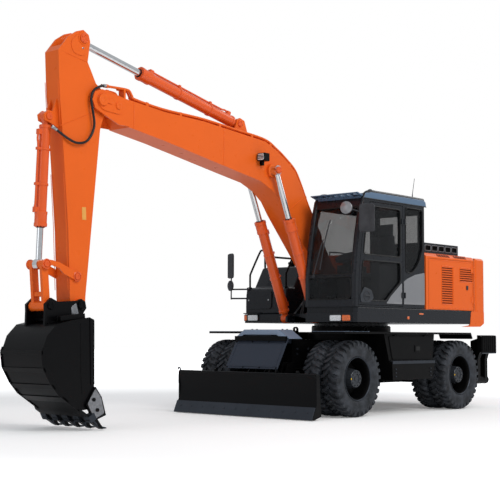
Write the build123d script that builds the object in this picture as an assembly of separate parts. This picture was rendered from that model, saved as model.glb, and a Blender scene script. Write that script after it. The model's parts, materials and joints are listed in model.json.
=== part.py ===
from build123d import *
from math import cos, hypot, pi, sin, sqrt
import os

# A wheeled excavator. Millimetres, +X forward, +Y left, +Z up, ground at z = 0.
# It is laid out from the slew axis at x = 0, and shifted at the end so that its box is centred.

# Running gear
wheelbase = 2600.0
front_axle_x = 1500.0
rear_axle_x = front_axle_x - wheelbase
overall_width = 2530.0
tyre_radius = 520.0
tyre_width = 278.0
tyre_shoulder = 26.0
tyre_sides = 36
bead_inset = 44.0
twin_pitch = 320.0
rim_radius = 283.0
rim_flange = 14.0
rim_wall = 18.0
hub_radius = 150.0
hub_out = 80.0
spindle_radius = 60.0
drum_radius = 200.0
running_clearance = 0.08
side_clearance = 0.3
twin_y = (overall_width - tyre_width - twin_pitch) / 2
kingpin_y = twin_y - 366.0
kingpin_radius = 30.0
knuckle_height = 300.0
axle_radius = 105.0
differential_radius = 145.0
gearbox_length = 375.0

# Chassis
frame_half_width = 330.0
frame_bottom = 670.0
frame_top = 1040.0
frame_front = 1790.0
frame_rear = rear_axle_x - 650.0
ring_radius = 600.0
ring_top = 1240.0
fender_top = 1158.0
fender_sheet = 28.0
fender_reach = 310.0  # from the front axle to the front mudguard's front edge
fender_inner = twin_y - 276.0
step_outer = overall_width / 2 - 15.0
step_bottom = 480.0
step_top = 735.0
box_wall = 12.0

# Blade
blade_width = 2530.0
blade_height = 590.0
blade_front_x = 2520.0
blade_pivot = (1930.0, 430.0)
blade_arm_y = 275.0
blade_arm_width = 60.0
blade_plate = 30.0
blade_cylinder_foot = (1900.0, 880.0)
blade_cylinder_eye = (2285.0, 360.0)
blade_cylinder_y = 150.0

# Outriggers
outrigger_x = rear_axle_x - 830.0
outrigger_pivot = (1080.0, 420.0)
outrigger_half = 150.0
outrigger_pad = (1180.0, 1250.0, 835.0, 1120.0)
outrigger_foot = (200.0, 950.0)
outrigger_eye = (1000.0, 690.0)
outrigger_pin_radius = 28.0
outrigger_post_top = 830.0
lashing_eye = (530.0, 1195.0)
lashing_eye_y = fender_inner - 35.0
lashing_eye_plate = 30.0
lashing_eye_radius = 28.0

# Upper structure
platform_bottom = 1270.0
sill_top = 1490.0
sill_front = 1540.0
upper_half_width = 1240.0
hood_top = 2340.0
hood_front = -180.0
seam_x = -1560.0
tail_x = -2300.0
tail_corner_x = -1830.0
panel = 30.0
cab_inner_y = 360.0
cab_rear = -140.0
cab_top = 3100.0
roof_seam = cab_top - 95.0
cab_wall = 45.0
roof_sheet = 14.0
pane = 6.0
cab_floor = 1500.0
door_rear = 410.0
door_gap = 8.0
door_hinge_out = 22.0
mirror_out = 1520.0
mirror_case = 24.0

# Boom, arm and bucket: pins in the x-z plane
boom_foot = (600.0, 1750.0)
boom_tip = (5200.0, 3910.0)
boom_half = 180.0
boom_plate = 16.0
boom_cylinder_foot = (1220.0, 1350.0)
boom_cylinder_eye = (2090.0, 3390.0)
boom_cylinder_y = 270.0
arm_cylinder_foot = (2620.0, 3995.0)
arm_cylinder_eye = (5460.0, 4620.0)
arm_half = 125.0
arm_plate = 28.0
arm_tip = (5480.0, 1440.0)
bucket_cylinder_foot = (5904.0, 3629.0)
lever_pin = (5514.0, 1777.0)
link_joint = (5968.0, 1905.0)
link_pin = (5925.0, 1426.0)
tip_pin_radius = 45.0
foot_pin_radius = 45.0
neck_length = 48.0
ear_plate = 30.0
lever_in = arm_half + 2.0
lever_plate = 22.0
tip_boss_radius = 78.0
bucket_half = 370.0
lip_half = 430.0
bucket_plate = 22.0


def block(x0, x1, y0, y1, z0, z1):
    return Solid.make_box(x1 - x0, y1 - y0, z1 - z0, Plane(origin=(x0, y0, z0)))


def slab(outline, y0, y1):
    # an outline of (x, z) pairs, y0 to y1 thick
    face = Face(Wire.make_polygon([Vector(x, y0, z) for x, z in outline]))
    return Solid.extrude(face, Vector(0, y1 - y0, 0))


def cross_slab(outline, x0, x1):
    # an outline of (y, z) pairs, x0 to x1 long
    face = Face(Wire.make_polygon([Vector(x0, y, z) for y, z in outline]))
    return Solid.extrude(face, Vector(x1 - x0, 0, 0))


def deck(outline, z0, z1):
    # an outline of (x, y) pairs, z0 to z1 high
    face = Face(Wire.make_polygon([Vector(x, y, z0) for x, y in outline]))
    return Solid.extrude(face, Vector(0, 0, z1 - z0))


def inset(outline, gap):
    # the same outline with each side moved in by gap and the corners mitred
    count = len(outline)
    after = outline[1:] + outline[:1]
    area = sum(x0 * z1 - x1 * z0 for (x0, z0), (x1, z1) in zip(outline, after))
    sense = 1 if area > 0 else -1
    sides = []
    for i in range(count):
        (x0, z0), (x1, z1) = outline[i], outline[(i + 1) % count]
        length = hypot(x1 - x0, z1 - z0)
        nx, nz = -sense * (z1 - z0) / length, sense * (x1 - x0) / length
        sides.append((nx, nz, nx * x0 + nz * z0 + gap))
    corners = []
    for i in range(count):
        (a0, b0, c0), (a1, b1, c1) = sides[i - 1], sides[i]
        det = a0 * b1 - a1 * b0
        corners.append(((c0 * b1 - c1 * b0) / det, (a0 * c1 - a1 * c0) / det))
    return corners


def pin_y(at, y0, y1, radius):
    return Solid.make_cylinder(radius, y1 - y0, Plane(origin=(at[0], y0, at[1]), z_dir=(0, 1, 0)))


def pin_x(at, x0, x1, radius):
    return Solid.make_cylinder(radius, x1 - x0, Plane(origin=(x0, at[0], at[1]), z_dir=(1, 0, 0)))


def pin_z(x, y, z0, z1, radius):
    return Solid.make_cylinder(radius, z1 - z0, Plane(origin=(x, y, z0), z_dir=(0, 0, 1)))


def bar(start, end, radius):
    run = Vector(*end) - Vector(*start)
    return Solid.make_cylinder(radius, run.length, Plane(origin=start, z_dir=run))


def turned(outline, x, z):
    # an outline of (y, radius) pairs spun about a line along y through x, z
    face = Face(Wire.make_polygon([Vector(x, y, z + radius) for y, radius in outline]))
    return revolve(face, axis=Axis((x, 0, z), (0, 1, 0)), revolution_arc=360)


def join(first, *rest):
    whole = first
    for piece in rest:
        whole = whole + piece
    return whole


def both(shape):
    return Compound(children=[*shape.solids(), *mirror(shape, about=Plane.XZ).solids()])


def right_of(shape):
    return mirror(shape, about=Plane.XZ)


axle_places = (("front", front_axle_x), ("rear", rear_axle_x))


def faceted(outline, x, z, sides):
    # an outline of (y, radius) pairs carried round in flat facets, its flats at the stated radius
    grow = 1 / cos(pi / sides)
    rings = []
    for index in range(sides):
        angle = (index + 0.5) * 2 * pi / sides
        rings.append([Vector(x + r * grow * sin(angle), y, z - r * grow * cos(angle)) for y, r in outline])
    faces = []
    for index, ring in enumerate(rings):
        after = rings[(index + 1) % sides]
        for k in range(len(outline)):
            m = (k + 1) % len(outline)
            faces.append(Face(Wire.make_polygon([ring[k], ring[m], after[m], after[k]])))
    return Solid(Shell(faces))


def tyre(x, y):
    half = tyre_width / 2
    crown = tyre_radius - tyre_shoulder
    middle = (rim_radius + crown) / 2
    # distance from the tyre's middle, radius
    side = ((half - bead_inset, rim_radius), (half - bead_inset, rim_radius + rim_flange + 2),
            (half, middle),
            (half - 8, crown), (half - bead_inset, tyre_radius))
    outline = [(y - out, radius) for out, radius in side]
    outline += [(y + out, radius) for out, radius in side[::-1]]
    return faceted(outline, x, tyre_radius, tyre_sides)


def twin_tyres(x):
    return Compound(children=[*tyre(x, twin_y - twin_pitch / 2).solids(),
                              *tyre(x, twin_y + twin_pitch / 2).solids()])


def twin_rim(x):
    bead = twin_pitch / 2 + tyre_width / 2 - bead_inset
    edge = bead + 12
    inner = rim_radius - rim_wall
    bore = spindle_radius + running_clearance
    outline = [
        (-edge, inner),
        (-edge, rim_radius + rim_flange),
        (-bead, rim_radius + rim_flange),
        (-bead, rim_radius),
        (bead, rim_radius),
        (bead, rim_radius + rim_flange),
        (edge, rim_radius + rim_flange),
        (edge, inner),
        (12, inner),
        (12, hub_radius),
        (hub_out, hub_radius),
        (hub_out + 20, hub_radius - 40),
        (hub_out + 20, 0),
        (hub_out - 10, 0),
        (hub_out - 10, bore),
        (-70, bore),
        (-70, hub_radius + 20),
        (-12, hub_radius + 20),
        (-12, inner),
    ]
    return turned([(twin_y + y, radius) for y, radius in outline], x, tyre_radius)


def wheel_end(x):
    # brake drum and spindle, from the axle's end into the hub
    drum = pin_y((x, tyre_radius), twin_y - 300, twin_y - 90, drum_radius)
    spindle = pin_y((x, tyre_radius), kingpin_y - 20, twin_y + hub_out - 12, spindle_radius)
    return join(drum, spindle)


def knuckle():
    half = knuckle_height / 2
    boss = pin_z(front_axle_x, kingpin_y, tyre_radius - half, tyre_radius + half, 62)
    bore = pin_z(front_axle_x, kingpin_y, 0, 2 * tyre_radius, kingpin_radius + running_clearance)
    return join(boss, wheel_end(front_axle_x)) - bore


def front_axle():
    x = front_axle_x
    half = knuckle_height / 2 + side_clearance
    beam = pin_y((x, tyre_radius), -kingpin_y + 130, kingpin_y - 130, axle_radius)
    bowl = pin_y((x, tyre_radius), -120, 120, differential_radius)
    pad = block(x - 90, x + 90, -110, 110, tyre_radius, frame_bottom)
    whole = join(beam, bowl, pad)
    for side in (-1, 1):
        inner, outer = sorted((side * (kingpin_y - 160), side * (kingpin_y - 100)))
        web = block(x - 60, x + 60, inner, outer, tyre_radius - half - 40, tyre_radius + half + 40)
        whole = join(whole, web)
        for low in (tyre_radius - half - 40, tyre_radius + half):
            arm_in, arm_out = sorted((side * (kingpin_y - 160), side * kingpin_y))
            whole = join(whole, block(x - 55, x + 55, arm_in, arm_out, low, low + 40))
            whole = join(whole, pin_z(x, side * kingpin_y, low, low + 40, 55))
        post = pin_z(x, side * kingpin_y, tyre_radius - half - 45, tyre_radius + half + 45, kingpin_radius)
        whole = join(whole, post)
    return whole


def rear_axle():
    x = rear_axle_x
    beam = pin_y((x, tyre_radius), -kingpin_y, kingpin_y, axle_radius)
    bowl = pin_y((x, tyre_radius), -120, 120, differential_radius)
    pad = block(x - 90, x + 90, -300, 300, tyre_radius, frame_bottom)
    return join(beam, bowl, pad, wheel_end(x), right_of(wheel_end(x)))


def drive_line():
    # gearbox bolted under the frame, with the shaft to the front axle
    start = rear_axle_x + differential_radius + side_clearance
    gearbox = block(start, start + gearbox_length, -150, 150, 380, frame_bottom)
    shaft_end = front_axle_x - differential_radius
    shaft = bar((start + gearbox_length, 0, tyre_radius), (shaft_end, 0, tyre_radius), 42)
    return join(gearbox, shaft)


def chassis_frame():
    body = block(frame_rear, frame_front, -frame_half_width, frame_half_width, frame_bottom, frame_top)
    turret = pin_z(0, 0, frame_top, ring_top - 90, ring_radius + 60)
    ring = pin_z(0, 0, ring_top - 90, ring_top, ring_radius)
    wing_rear, wing_front = rear_axle_x + 680, front_axle_x - 860
    wings = block(wing_rear, wing_front, -fender_inner, fender_inner, frame_bottom + 130, frame_top)
    whole = join(body, turret, ring, wings)
    ex, ez = lashing_eye
    tab = [(ex - 65, frame_top - 10), (ex - 50, ez + 20), (ex - 20, ez + 40), (ex + 20, ez + 40),
           (ex + 50, ez + 20),
           (ex + 65, frame_top - 10)]
    for side in (-1, 1):
        middle = side * lashing_eye_y
        y0, y1 = middle - lashing_eye_plate / 2, middle + lashing_eye_plate / 2
        whole = join(whole, slab(tab, y0, y1) - pin_y(lashing_eye, y0 - 5, y1 + 5, lashing_eye_radius))
    return join(whole, *blade_brackets())


def blade_brackets():
    # clevis plates for the blade's arms and for its two cylinders
    pieces = []
    x, z = blade_pivot
    near, far = blade_arm_width / 2 + side_clearance, blade_arm_width / 2 + ear_plate
    outline = [(frame_front - 60, 330), (x, z - 60), (x + 45, z - 30), (x + 45, z + 40),
               (x - 40, frame_bottom + 60),
               (frame_front - 60, frame_bottom + 60)]
    for side in (-1, 1):
        middle = side * blade_arm_y
        for low, high in ((middle - far, middle - near), (middle + near, middle + far)):
            pieces.append(slab(outline, low, high))
        pieces.append(pin_y(blade_pivot, middle - far, middle + far, 30))
        centre = side * blade_cylinder_y
        fx, fz = blade_cylinder_foot
        for low, high in ((centre - 45, centre - 25 - side_clearance),
                          (centre + 25 + side_clearance, centre + 45)):
            pieces.append(block(frame_front - 20, fx, low, high, fz - 45, fz + 45))
            pieces.append(pin_y(blade_cylinder_foot, low, high, 45))
        pieces.append(pin_y(blade_cylinder_foot, centre - 45, centre + 45, 20))
    return pieces


def outrigger_frame():
    # crossbeam behind the rear wheels, a post on the chassis' end and the cylinders' clevis
    x, (py, pz) = outrigger_x, outrigger_pivot
    half, width = outrigger_half, frame_half_width
    low, high = x - half - ear_plate, x + half + ear_plate
    beam_half = py - 120
    pieces = [
        block(low, frame_rear, -width, width, 360, outrigger_post_top),
        block(low, high, -beam_half, beam_half, 350, 490),
        pin_x(outrigger_pivot, low, high, outrigger_pin_radius),
        pin_x((-py, pz), low, high, outrigger_pin_radius),
    ]
    for side in (-1, 1):
        y0, y1 = sorted((side * (beam_half - 10), side * py))
        for x0, x1 in ((low, x - half - side_clearance), (x + half + side_clearance, high)):
            pieces.append(block(x0, x1, y0, y1, pz - 65, pz + 65))
            pieces.append(pin_x((side * py, pz), x0, x1, 65))
    fy, fz = outrigger_foot
    near = outrigger_cylinder[4] / 2 + side_clearance
    for x0, x1 in ((x - near - 25, x - near), (x + near, x + near + 25)):
        pieces.append(block(x0, x1, -fy - 60, fy + 60, outrigger_post_top - 10, fz + 55))
    for side in (-1, 1):
        pieces.append(pin_x((side * fy, fz), x - near - 25, x + near + 25, outrigger_cylinder[5]))
    return join(*pieces)


def fender_side():
    # front and rear mudguards, the step box between the wheels and its lower step, left side
    top, under = fender_top, fender_top - fender_sheet
    ahead, back = front_axle_x, rear_axle_x
    guard = [(ahead + fender_reach, under), (ahead + fender_reach, top), (back - 300, top),
             (back - 350, under - 60),
             (back - 325, under - 70), (back - 285, under)]
    box = [(ahead - 665, under + 5), (back + 650, under + 5), (back + 705, step_top),
           (ahead - 795, step_top)]
    step = [(ahead - 795, step_top + 5), (back + 705, step_top + 5), (back + 790, step_bottom),
            (ahead - 810, step_bottom)]
    whole = slab(guard, fender_inner - 10, step_outer + 5)
    for outline, outer in ((box, step_outer - 50), (step, step_outer)):
        inner_wall, outer_wall = fender_inner + box_wall, outer - box_wall
        hollow = slab(inset(outline, box_wall), inner_wall, outer_wall)
        whole = join(whole, slab(outline, fender_inner, outer) - hollow)
    return whole


def front_cover():
    # sloping guard plate over the blade cylinders with a rounded cover on top of it
    plate = slab([(2062, 1020), (2282, 640), (2296, 648), (2076, 1028)], -475, 475)
    roof = cross_slab([(-500, 1056), (-320, 1176), (320, 1176), (500, 1056)], frame_front - 10, 2068)
    hollow = cross_slab([(-470, 1040), (-305, 1160), (305, 1160), (470, 1040)], frame_front - 20, 2050)
    lip = block(2050, 2076, -475, 475, 1010, 1070)
    stays = [block(frame_front, 2075, y - 12, y + 12, 990, 1070) for y in (-300, 300)]
    return join(roof - hollow, plate, lip, *stays)


def blade():
    # concave mouldboard with a straight cutting edge, ribs behind it and two lift arms
    half = blade_width / 2
    top, toe = blade_height, blade_front_x
    face = [(toe - 85, top), (toe - 105, 0.62 * top), (toe - 92, 0.34 * top), (toe, 12)]
    back = [(toe - 40, 8), (toe - 128, 0.31 * top), (toe - 141, 0.62 * top), (toe - 125, top)]
    board = slab(face + back, -half, half)
    end = [(toe - 85, top), (toe - 92, 0.34 * top), (toe, 12), (toe - 40, 8), (toe - 190, 50),
           (toe - 150, top)]
    ends = [slab(end, half - 20, half), slab(end, -half, -half + 20)]
    beam = block(toe - 200, toe - 110, -blade_arm_y - 60, blade_arm_y + 60, 130, 300)
    whole = join(board, *ends, beam)
    px, pz = blade_pivot
    arm = [(px - 30, pz - 40), (px + 10, pz + 45), (toe - 120, pz + 20), (toe - 120, 140), (px + 200, 200)]
    ex, ez = blade_cylinder_eye
    for side in (-1, 1):
        middle = side * blade_arm_y
        piece = join(
            slab(arm, middle - blade_arm_width / 2, middle + blade_arm_width / 2),
            pin_y(blade_pivot, middle - blade_arm_width / 2, middle + blade_arm_width / 2, 55),
        )
        whole = join(whole, piece - pin_y(blade_pivot, middle - 60, middle + 60, 30 + running_clearance))
        centre = side * blade_cylinder_y
        for low, high in ((centre - 50, centre - 30 - side_clearance),
                          (centre + 30 + side_clearance, centre + 50)):
            lug = join(pin_y(blade_cylinder_eye, low, high, 42),
                       block(ex, toe - 120, low, high, ez - 42, ez + 42))
            whole = join(whole, lug)
    return whole


def along(foot, eye):
    # length and unit direction from a foot pin to an eye in one plane
    run = (eye[0] - foot[0], eye[1] - foot[1])
    length = hypot(*run)
    return length, (run[0] / length, run[1] / length)


def placed(plane, station, foot, direction, s):
    # point at distance s from the foot pin; plane "xz" keeps y = station, "yz" keeps x = station
    a, b = foot[0] + direction[0] * s, foot[1] + direction[1] * s
    return (a, station, b) if plane == "xz" else (station, a, b)


def across(plane, at, low, high, radius):
    return pin_y(at, low, high, radius) if plane == "xz" else pin_x(at, low, high, radius)


def cylinder_pair(plane, station, foot, eye, sizes):
    # a barrel with its foot eye and a rod with its own eye; the rod runs in the barrel's gland
    bore, wall, rod, barrel, width, foot_pin, eye_size, reach = sizes
    length, way = along(foot, eye)

    def at(s):
        return placed(plane, station, foot, way, s)

    low, high = station - width / 2, station + width / 2
    neck = bar(at(eye_size * 0.6), at(eye_size + neck_length), width / 2 - 3)
    tube = bar(at(eye_size + neck_length), at(barrel), bore + wall)
    gland = bar(at(barrel - 110), at(barrel), bore + wall + 8)
    foot_eye = across(plane, foot, low, high, eye_size)
    hollow = bar(at(eye_size + neck_length + 15), at(barrel - 60), bore)
    throat = bar(at(barrel - 80), at(barrel + 10), rod + running_clearance)
    foot_bore = across(plane, foot, low - 5, high + 5, foot_pin + running_clearance)
    outer = join(tube, neck, gland, foot_eye) - hollow - throat - foot_bore
    piston_at = eye_size + neck_length + 20 + reach
    stem = bar(at(piston_at), at(length - eye_size * 0.7), rod)
    piston = bar(at(piston_at), at(piston_at + 40), bore - running_clearance)
    inner = join(stem, piston, across(plane, eye, low, high, eye_size))
    return outer, inner


# bore radius, wall, rod radius, barrel length, eye width, foot pin, eye radius, rod drawn out so far
boom_cylinder = (55, 15, 40, 1500, 95, 38, 68, 620)
arm_cylinder = (60, 15, 44, 1860, 90, 38, 74, 880)
bucket_cylinder = (48, 14, 36, 1290, 80, 34, 62, 215)
blade_cylinder = (34, 10, 22, 470, 50, 20, 40, 140)
outrigger_cylinder = (34, 10, 24, 740, 100, 25, 44, 10)


def outrigger_arm():
    py, pz = outrigger_pivot
    x, half = outrigger_x, outrigger_half
    y0, y1, z0, z1 = outrigger_pad
    plate = [(py - 60, pz + 10), (py - 65, z1 - 90), (y0, z1 - 40), (y0, z0 + 25), (py + 62, z0 - 90),
             (py + 62, pz)]
    sole = [(y0 - 5, z0 + 10), (y1 - 35, z0), (y1, z0 + 35), (y1, z1 - 35), (y1 - 25, z1), (y0 - 5, z1)]
    whole = join(cross_slab(sole, x - 220, x + 220), pin_x(outrigger_pivot, x - half, x + half, 62))
    for x0, x1 in ((x - half, x - 70), (x + 70, x + half)):
        whole = join(whole, cross_slab(plate, x0, x1))
    ey, ez = outrigger_eye
    for x0, x1 in ((x - 72, x - 50 - side_clearance), (x + 50 + side_clearance, x + 72)):
        whole = join(whole, pin_x(outrigger_eye, x0, x1, 44), block(x0, x1, ey, py, ez - 44, ez + 44))
    return whole - pin_x(outrigger_pivot, x - half - 5, x + half + 5,
                         outrigger_pin_radius + running_clearance)


def platform():
    front = boom_cylinder_foot[0] - 90
    left = [(sill_front, cab_inner_y), (sill_front, upper_half_width - 40),
            (sill_front - 30, upper_half_width)]
    outline = left + [(seam_x, upper_half_width), (seam_x, -upper_half_width), (1040, -upper_half_width),
                      (1040, -420), (front, -360), (front, cab_inner_y)]
    base = deck(outline, platform_bottom + 20, platform_bottom + 150)
    side = upper_half_width - 60
    # rear end, front end, right side and left side of each pocket
    pockets = ((seam_x + 20, -620, -side, side), (-600, 380, -side, -260), (-600, 380, 260, side),
               (400, 1000, -side, -440))
    for x0, x1, y0, y1 in pockets:
        base = base - block(x0, x1, y0, y1, platform_bottom + 40, platform_bottom + 130)
    sill = deck([(sill_front - 10, upper_half_width - 50), (sill_front - 40, upper_half_width),
                 (seam_x, upper_half_width), (seam_x, upper_half_width - 50)], platform_bottom + 30,
                 sill_top)
    right_sill = block(seam_x, hood_front, -upper_half_width, -upper_half_width + 50, platform_bottom + 30,
                       sill_top)
    ring = pin_z(0, 0, ring_top + side_clearance, platform_bottom + 40, ring_radius - 40)
    floor = deck([(sill_front - 30, cab_inner_y), (sill_front - 60, upper_half_width - 45),
                  (cab_rear, upper_half_width - 45), (cab_rear, cab_inner_y)], platform_bottom + 140,
                  cab_floor)
    whole = join(base, sill, right_sill, ring, floor)
    return join(whole, *boom_brackets())


def boom_brackets():
    # side plates that hold the boom's foot pin and the boom cylinders' feet
    near = boom_half + 5
    fx, fz = boom_foot
    cx, cz = boom_cylinder_foot
    plate = [(fx - 420, platform_bottom + 120), (fx - 80, fz + 60), (fx, fz + 95), (fx + 85, fz + 45),
             (cx - 80, cz + 40), (cx, cz + 72), (cx + 70, cz + 20), (cx + 75, platform_bottom + 30),
             (cx, platform_bottom + 20)]
    eye_low = boom_cylinder_y - boom_cylinder[4] / 2 - side_clearance
    eye_high = boom_cylinder_y + boom_cylinder[4] / 2 + side_clearance
    pieces = [pin_y(boom_foot, -near - 50, near + 50, foot_pin_radius)]
    lug = [(cx - 160, platform_bottom + 120), (cx - 70, cz + 45), (cx, cz + 72), (cx + 70, cz + 20),
           (cx + 75, platform_bottom + 30), (cx - 160, platform_bottom + 20)]
    for side in (-1, 1):
        y0, y1 = sorted((side * near, side * eye_low))
        pieces.append(slab(plate, y0, y1))
        y0, y1 = sorted((side * eye_high, side * (eye_high + 30)))
        pieces.append(slab(lug, y0, y1))
        y0, y1 = sorted((side * near, side * (eye_high + 30)))
        pieces.append(pin_y(boom_cylinder_foot, y0, y1, boom_cylinder[5]))
    return pieces


def counterweight():
    # solid casting, its back a single arc from side to side
    half = upper_half_width
    low, high = platform_bottom + 30, hood_top - 20

    def curve(y):
        # where the tail's arc lies at this y
        rise = tail_corner_x - tail_x
        radius = (half * half + rise * rise) / (2 * rise)
        return tail_x + radius - sqrt(radius * radius - y * y)

    corner = tail_corner_x
    back = ThreePointArc((corner, half, low), (curve(0), 0, low), (corner, -half, low))
    edges = [Line((seam_x, half, low), (corner, half, low)), back,
             Line((corner, -half, low), (seam_x, -half, low)),
             Line((seam_x, -half, low), (seam_x, half, low))]
    face = Face(Wire(edges))
    casting = Solid.extrude(face, Vector(0, 0, high - low))
    return casting


side_hinge = (seam_x + 64.0, upper_half_width + 6.0)
side_hinge_heights = (1620, 2080)
hinge_length = 90


def hood_sides():
    # fixed frame around the engine bay: front bulkhead, corner posts and the top rails
    inner, outer = upper_half_width - panel, upper_half_width
    base, top = platform_bottom + 150, hood_top - 60
    bulkhead = block(hood_front - panel, hood_front, -outer + 50, outer - 50, base, top)
    whole = bulkhead
    for side in (-1, 1):
        y0, y1 = sorted((side * (outer - 70), side * outer))
        whole = join(whole, block(seam_x + 5, seam_x + 50, y0, y1, sill_top, top))
        whole = join(whole, block(hood_front - 60, hood_front, y0, y1, sill_top, top))
        rail = [(side * outer, top - 25), (side * outer, top), (side * (outer - 60), hood_top - 12),
                (side * (outer - 160), hood_top - 12), (side * (outer - 160), hood_top - 45),
                (side * (outer - 75), top - 25)]
        whole = join(whole, cross_slab(rail, seam_x + 5, hood_front))
    hx, hy = side_hinge
    for z in side_hinge_heights:
        for low in (z - 12, z + hinge_length + side_clearance):
            tab = join(block(seam_x + 20, hx - 6.5, hy - 10, hy + 9, low, low + 12 - side_clearance),
                       block(hx - 10, hx, hy - 4.5, hy + 4.5, low, low + 12 - side_clearance),
                       pin_z(hx, hy, low, low + 12 - side_clearance, 5.5))
            whole = join(whole, tab, right_of(tab))
    cross = block(seam_x + 5, seam_x + 45, -outer + 100, outer - 100, hood_top - 60, hood_top - 14)
    front = block(hood_front - 45, hood_front, -outer + 100, outer - 100, hood_top - 70, hood_top - 14)
    return join(whole, cross, front)


hood_hinge = (hood_front - 40.0, hood_top + 8.0)


def engine_hood():
    # top lid of the engine bay with the louvred intake box on it
    half = upper_half_width - 165
    lid = block(seam_x + 10, hood_front - 60, -half, half, hood_top - 14 + side_clearance, hood_top + 8)
    knuckle_pin = pin_y(hood_hinge, -half + 60, half - 60, 14)
    tongue = block(hood_front - 65, hood_front - 40, -half + 60, half - 60, hood_top - 4, hood_top + 8)
    return join(lid, tongue, knuckle_pin)


def intake_box():
    # louvred box on the hood: open slots along its left side
    x0, x1 = hood_front - 1180, hood_front - 220
    y0, y1 = cab_inner_y - 10, upper_half_width - 180
    low, high = hood_top + 8, hood_top + 165
    shell = block(x0, x1, y0, y1, low, high) - block(x0 + 15, x1 - 15, y0 + 15, y1 - 15, low + 12,
                                                     high - 15)
    slots, bar_width = 5, 36
    pitch = (x1 - x0 - bar_width) / slots
    for index in range(slots):
        start = x0 + bar_width + index * pitch
        shell = shell - block(start, start + pitch - bar_width, y1 - 40, y1 + 40, low + 45, high - 40)
    return shell


# grilles of the side doors: rear end, front end, bottom, top, slots
side_grilles = ((-1500, -1120, 1945, 2145, 6), (-915, -615, 1590, 2150, 16))


def side_door(low_z):
    # service door of the engine bay, its grilles cut as level slots
    x0, x1 = seam_x + 64, hood_front - 64
    y0, y1 = upper_half_width - panel, upper_half_width
    door = block(x0, x1, y0, y1, low_z, hood_top - 90)
    for rear, front, bottom, top, slots in side_grilles:
        pitch = (top - bottom) / slots
        for index in range(slots):
            z = bottom + index * pitch
            door = door - block(rear, front, y0 - 5, y1 + 5, z, z + 0.55 * pitch)
    return door


def hung_side_door():
    door = side_door(sill_top + 8)
    hx, hy = side_hinge
    for z in side_hinge_heights:
        leaf = block(hx, hx + 60, hy - 9, hy + 1, z, z + hinge_length)
        door = join(door, pin_z(hx, hy, z, z + hinge_length, 9), leaf)
    return door


def engine():
    return block(-1300, -450, -450, 400, platform_bottom + 150, 2060)


cab_profile = [(cab_rear, cab_floor), (cab_rear, roof_seam), (1345, roof_seam), (1420, cab_top - 370),
               (1500, 2300),
               (1545, 1900), (1550, cab_floor)]
door_outline = [(door_rear + door_gap, cab_floor + 30), (door_rear + door_gap, roof_seam - 45),
                (1190, roof_seam - 45),
                (1282, roof_seam - 120), (1390, 2480), (1458, 2000), (1482, cab_floor + 30)]
door_bar = (2145.0, 2225.0)
side_window = [(door_rear - 62, 2020), (door_rear - 62, roof_seam - 55), (cab_rear + 52, roof_seam - 55),
               (cab_rear + 52, 2370), (0, 2180), (80, 2090), (200, 2005)]
right_window = [(0, 1980), (0, 2880), (1250, 2880), (1380, 2400), (1430, 1980)]
rear_window = (cab_inner_y + 90, upper_half_width - 90, 2350.0, 2880.0)
door_window = [(door_rear + 72, door_bar[1]), (door_rear + 72, roof_seam - 100), (1160, roof_seam - 100),
               (1228, roof_seam - 160), (1318, 2560), (1368, door_bar[1])]
door_pane = [(850, 1590), (730, 1690), (585, 1795), (door_rear + 72, 1862), (door_rear + 72, door_bar[0]),
             (1378, door_bar[0]), (1402, 1950), (1422, 1590)]
glass_low, glass_high, glass_split = 1600.0, 2890.0, 1925.0
screen_in, screen_out, screen_bar = 32.0, 75.0, 28.0


def cab_shell():
    y0, y1 = cab_inner_y, upper_half_width
    body = slab(cab_profile, y0, y1) - slab(inset(cab_profile, cab_wall), y0 + cab_wall, y1 - cab_wall)
    body = body - slab(inset(door_outline, -door_gap), y1 - cab_wall - 5, y1 + 5)
    body = body - slab(side_window, y1 - cab_wall - 5, y1 + 5)
    # windscreen, rear window and right side window
    body = body - block(1280, 1600, y0 + screen_in, y1 - screen_out, glass_low, glass_high)
    body = body - block(cab_rear - 10, cab_rear + cab_wall + 10, *rear_window)
    body = body - slab(right_window, y0 - 5, y0 + cab_wall + 5)
    cross = block(1505, 1540, y0 + screen_in - 8, y1 - screen_out + 8, glass_split - screen_bar / 2,
                  glass_split + screen_bar / 2)
    return join(body, cross)


def cab_glass():
    # fixed panes, each a thin plate in the middle of its wall
    y0, y1 = cab_inner_y, upper_half_width
    sheet = slab(inset(cab_profile, 16), y0 + screen_in, y1 - screen_out)
    sheet = sheet - slab(inset(cab_profile, 16 + pane), y0 + screen_in - 2, y1 - screen_out + 5)
    upper = sheet & block(1280, 1600, y0, y1, glass_split + screen_bar / 2, glass_high)
    lower = sheet & block(1280, 1600, y0, y1, glass_low, glass_split - screen_bar / 2)
    near, far = (cab_wall - pane) / 2, (cab_wall + pane) / 2
    rest = [
        slab(side_window, y1 - far, y1 - near),
        slab(right_window, y0 + near, y0 + far),
        block(cab_rear + near, cab_rear + far, *rear_window),
    ]
    return Compound(children=[*upper.solids(), *lower.solids(), *rest])


def cab_roof():
    # hollow roof panel on the cab's frame, with a slotted visor over the windscreen
    front = 1345
    outline = [(cab_rear - 60, roof_seam), (cab_rear - 50, cab_top - 30), (cab_rear, cab_top),
               (front - 175, cab_top),
               (front - 45, cab_top - 22), (front, roof_seam)]
    y0, y1 = cab_inner_y, upper_half_width
    roof = slab(outline, y0, y1) - slab(inset(outline, roof_sheet), y0 + roof_sheet, y1 - roof_sheet)
    visor_line = [(front - 20, roof_seam + 20), (front - 32, roof_seam + 40), (front + 110, roof_seam + 78),
                  (front + 130, roof_seam + 62)]
    visor = slab(visor_line, y0 + 20, y1 - 30)
    slots, bar_width = 7, 40
    pitch = (y1 - y0 - 50 - bar_width) / slots
    for index in range(slots):
        start = y0 + 20 + bar_width + index * pitch
        visor = visor - block(front + 25, front + 90, start, start + pitch - bar_width, roof_seam, cab_top)
    return join(roof, visor)


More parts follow.
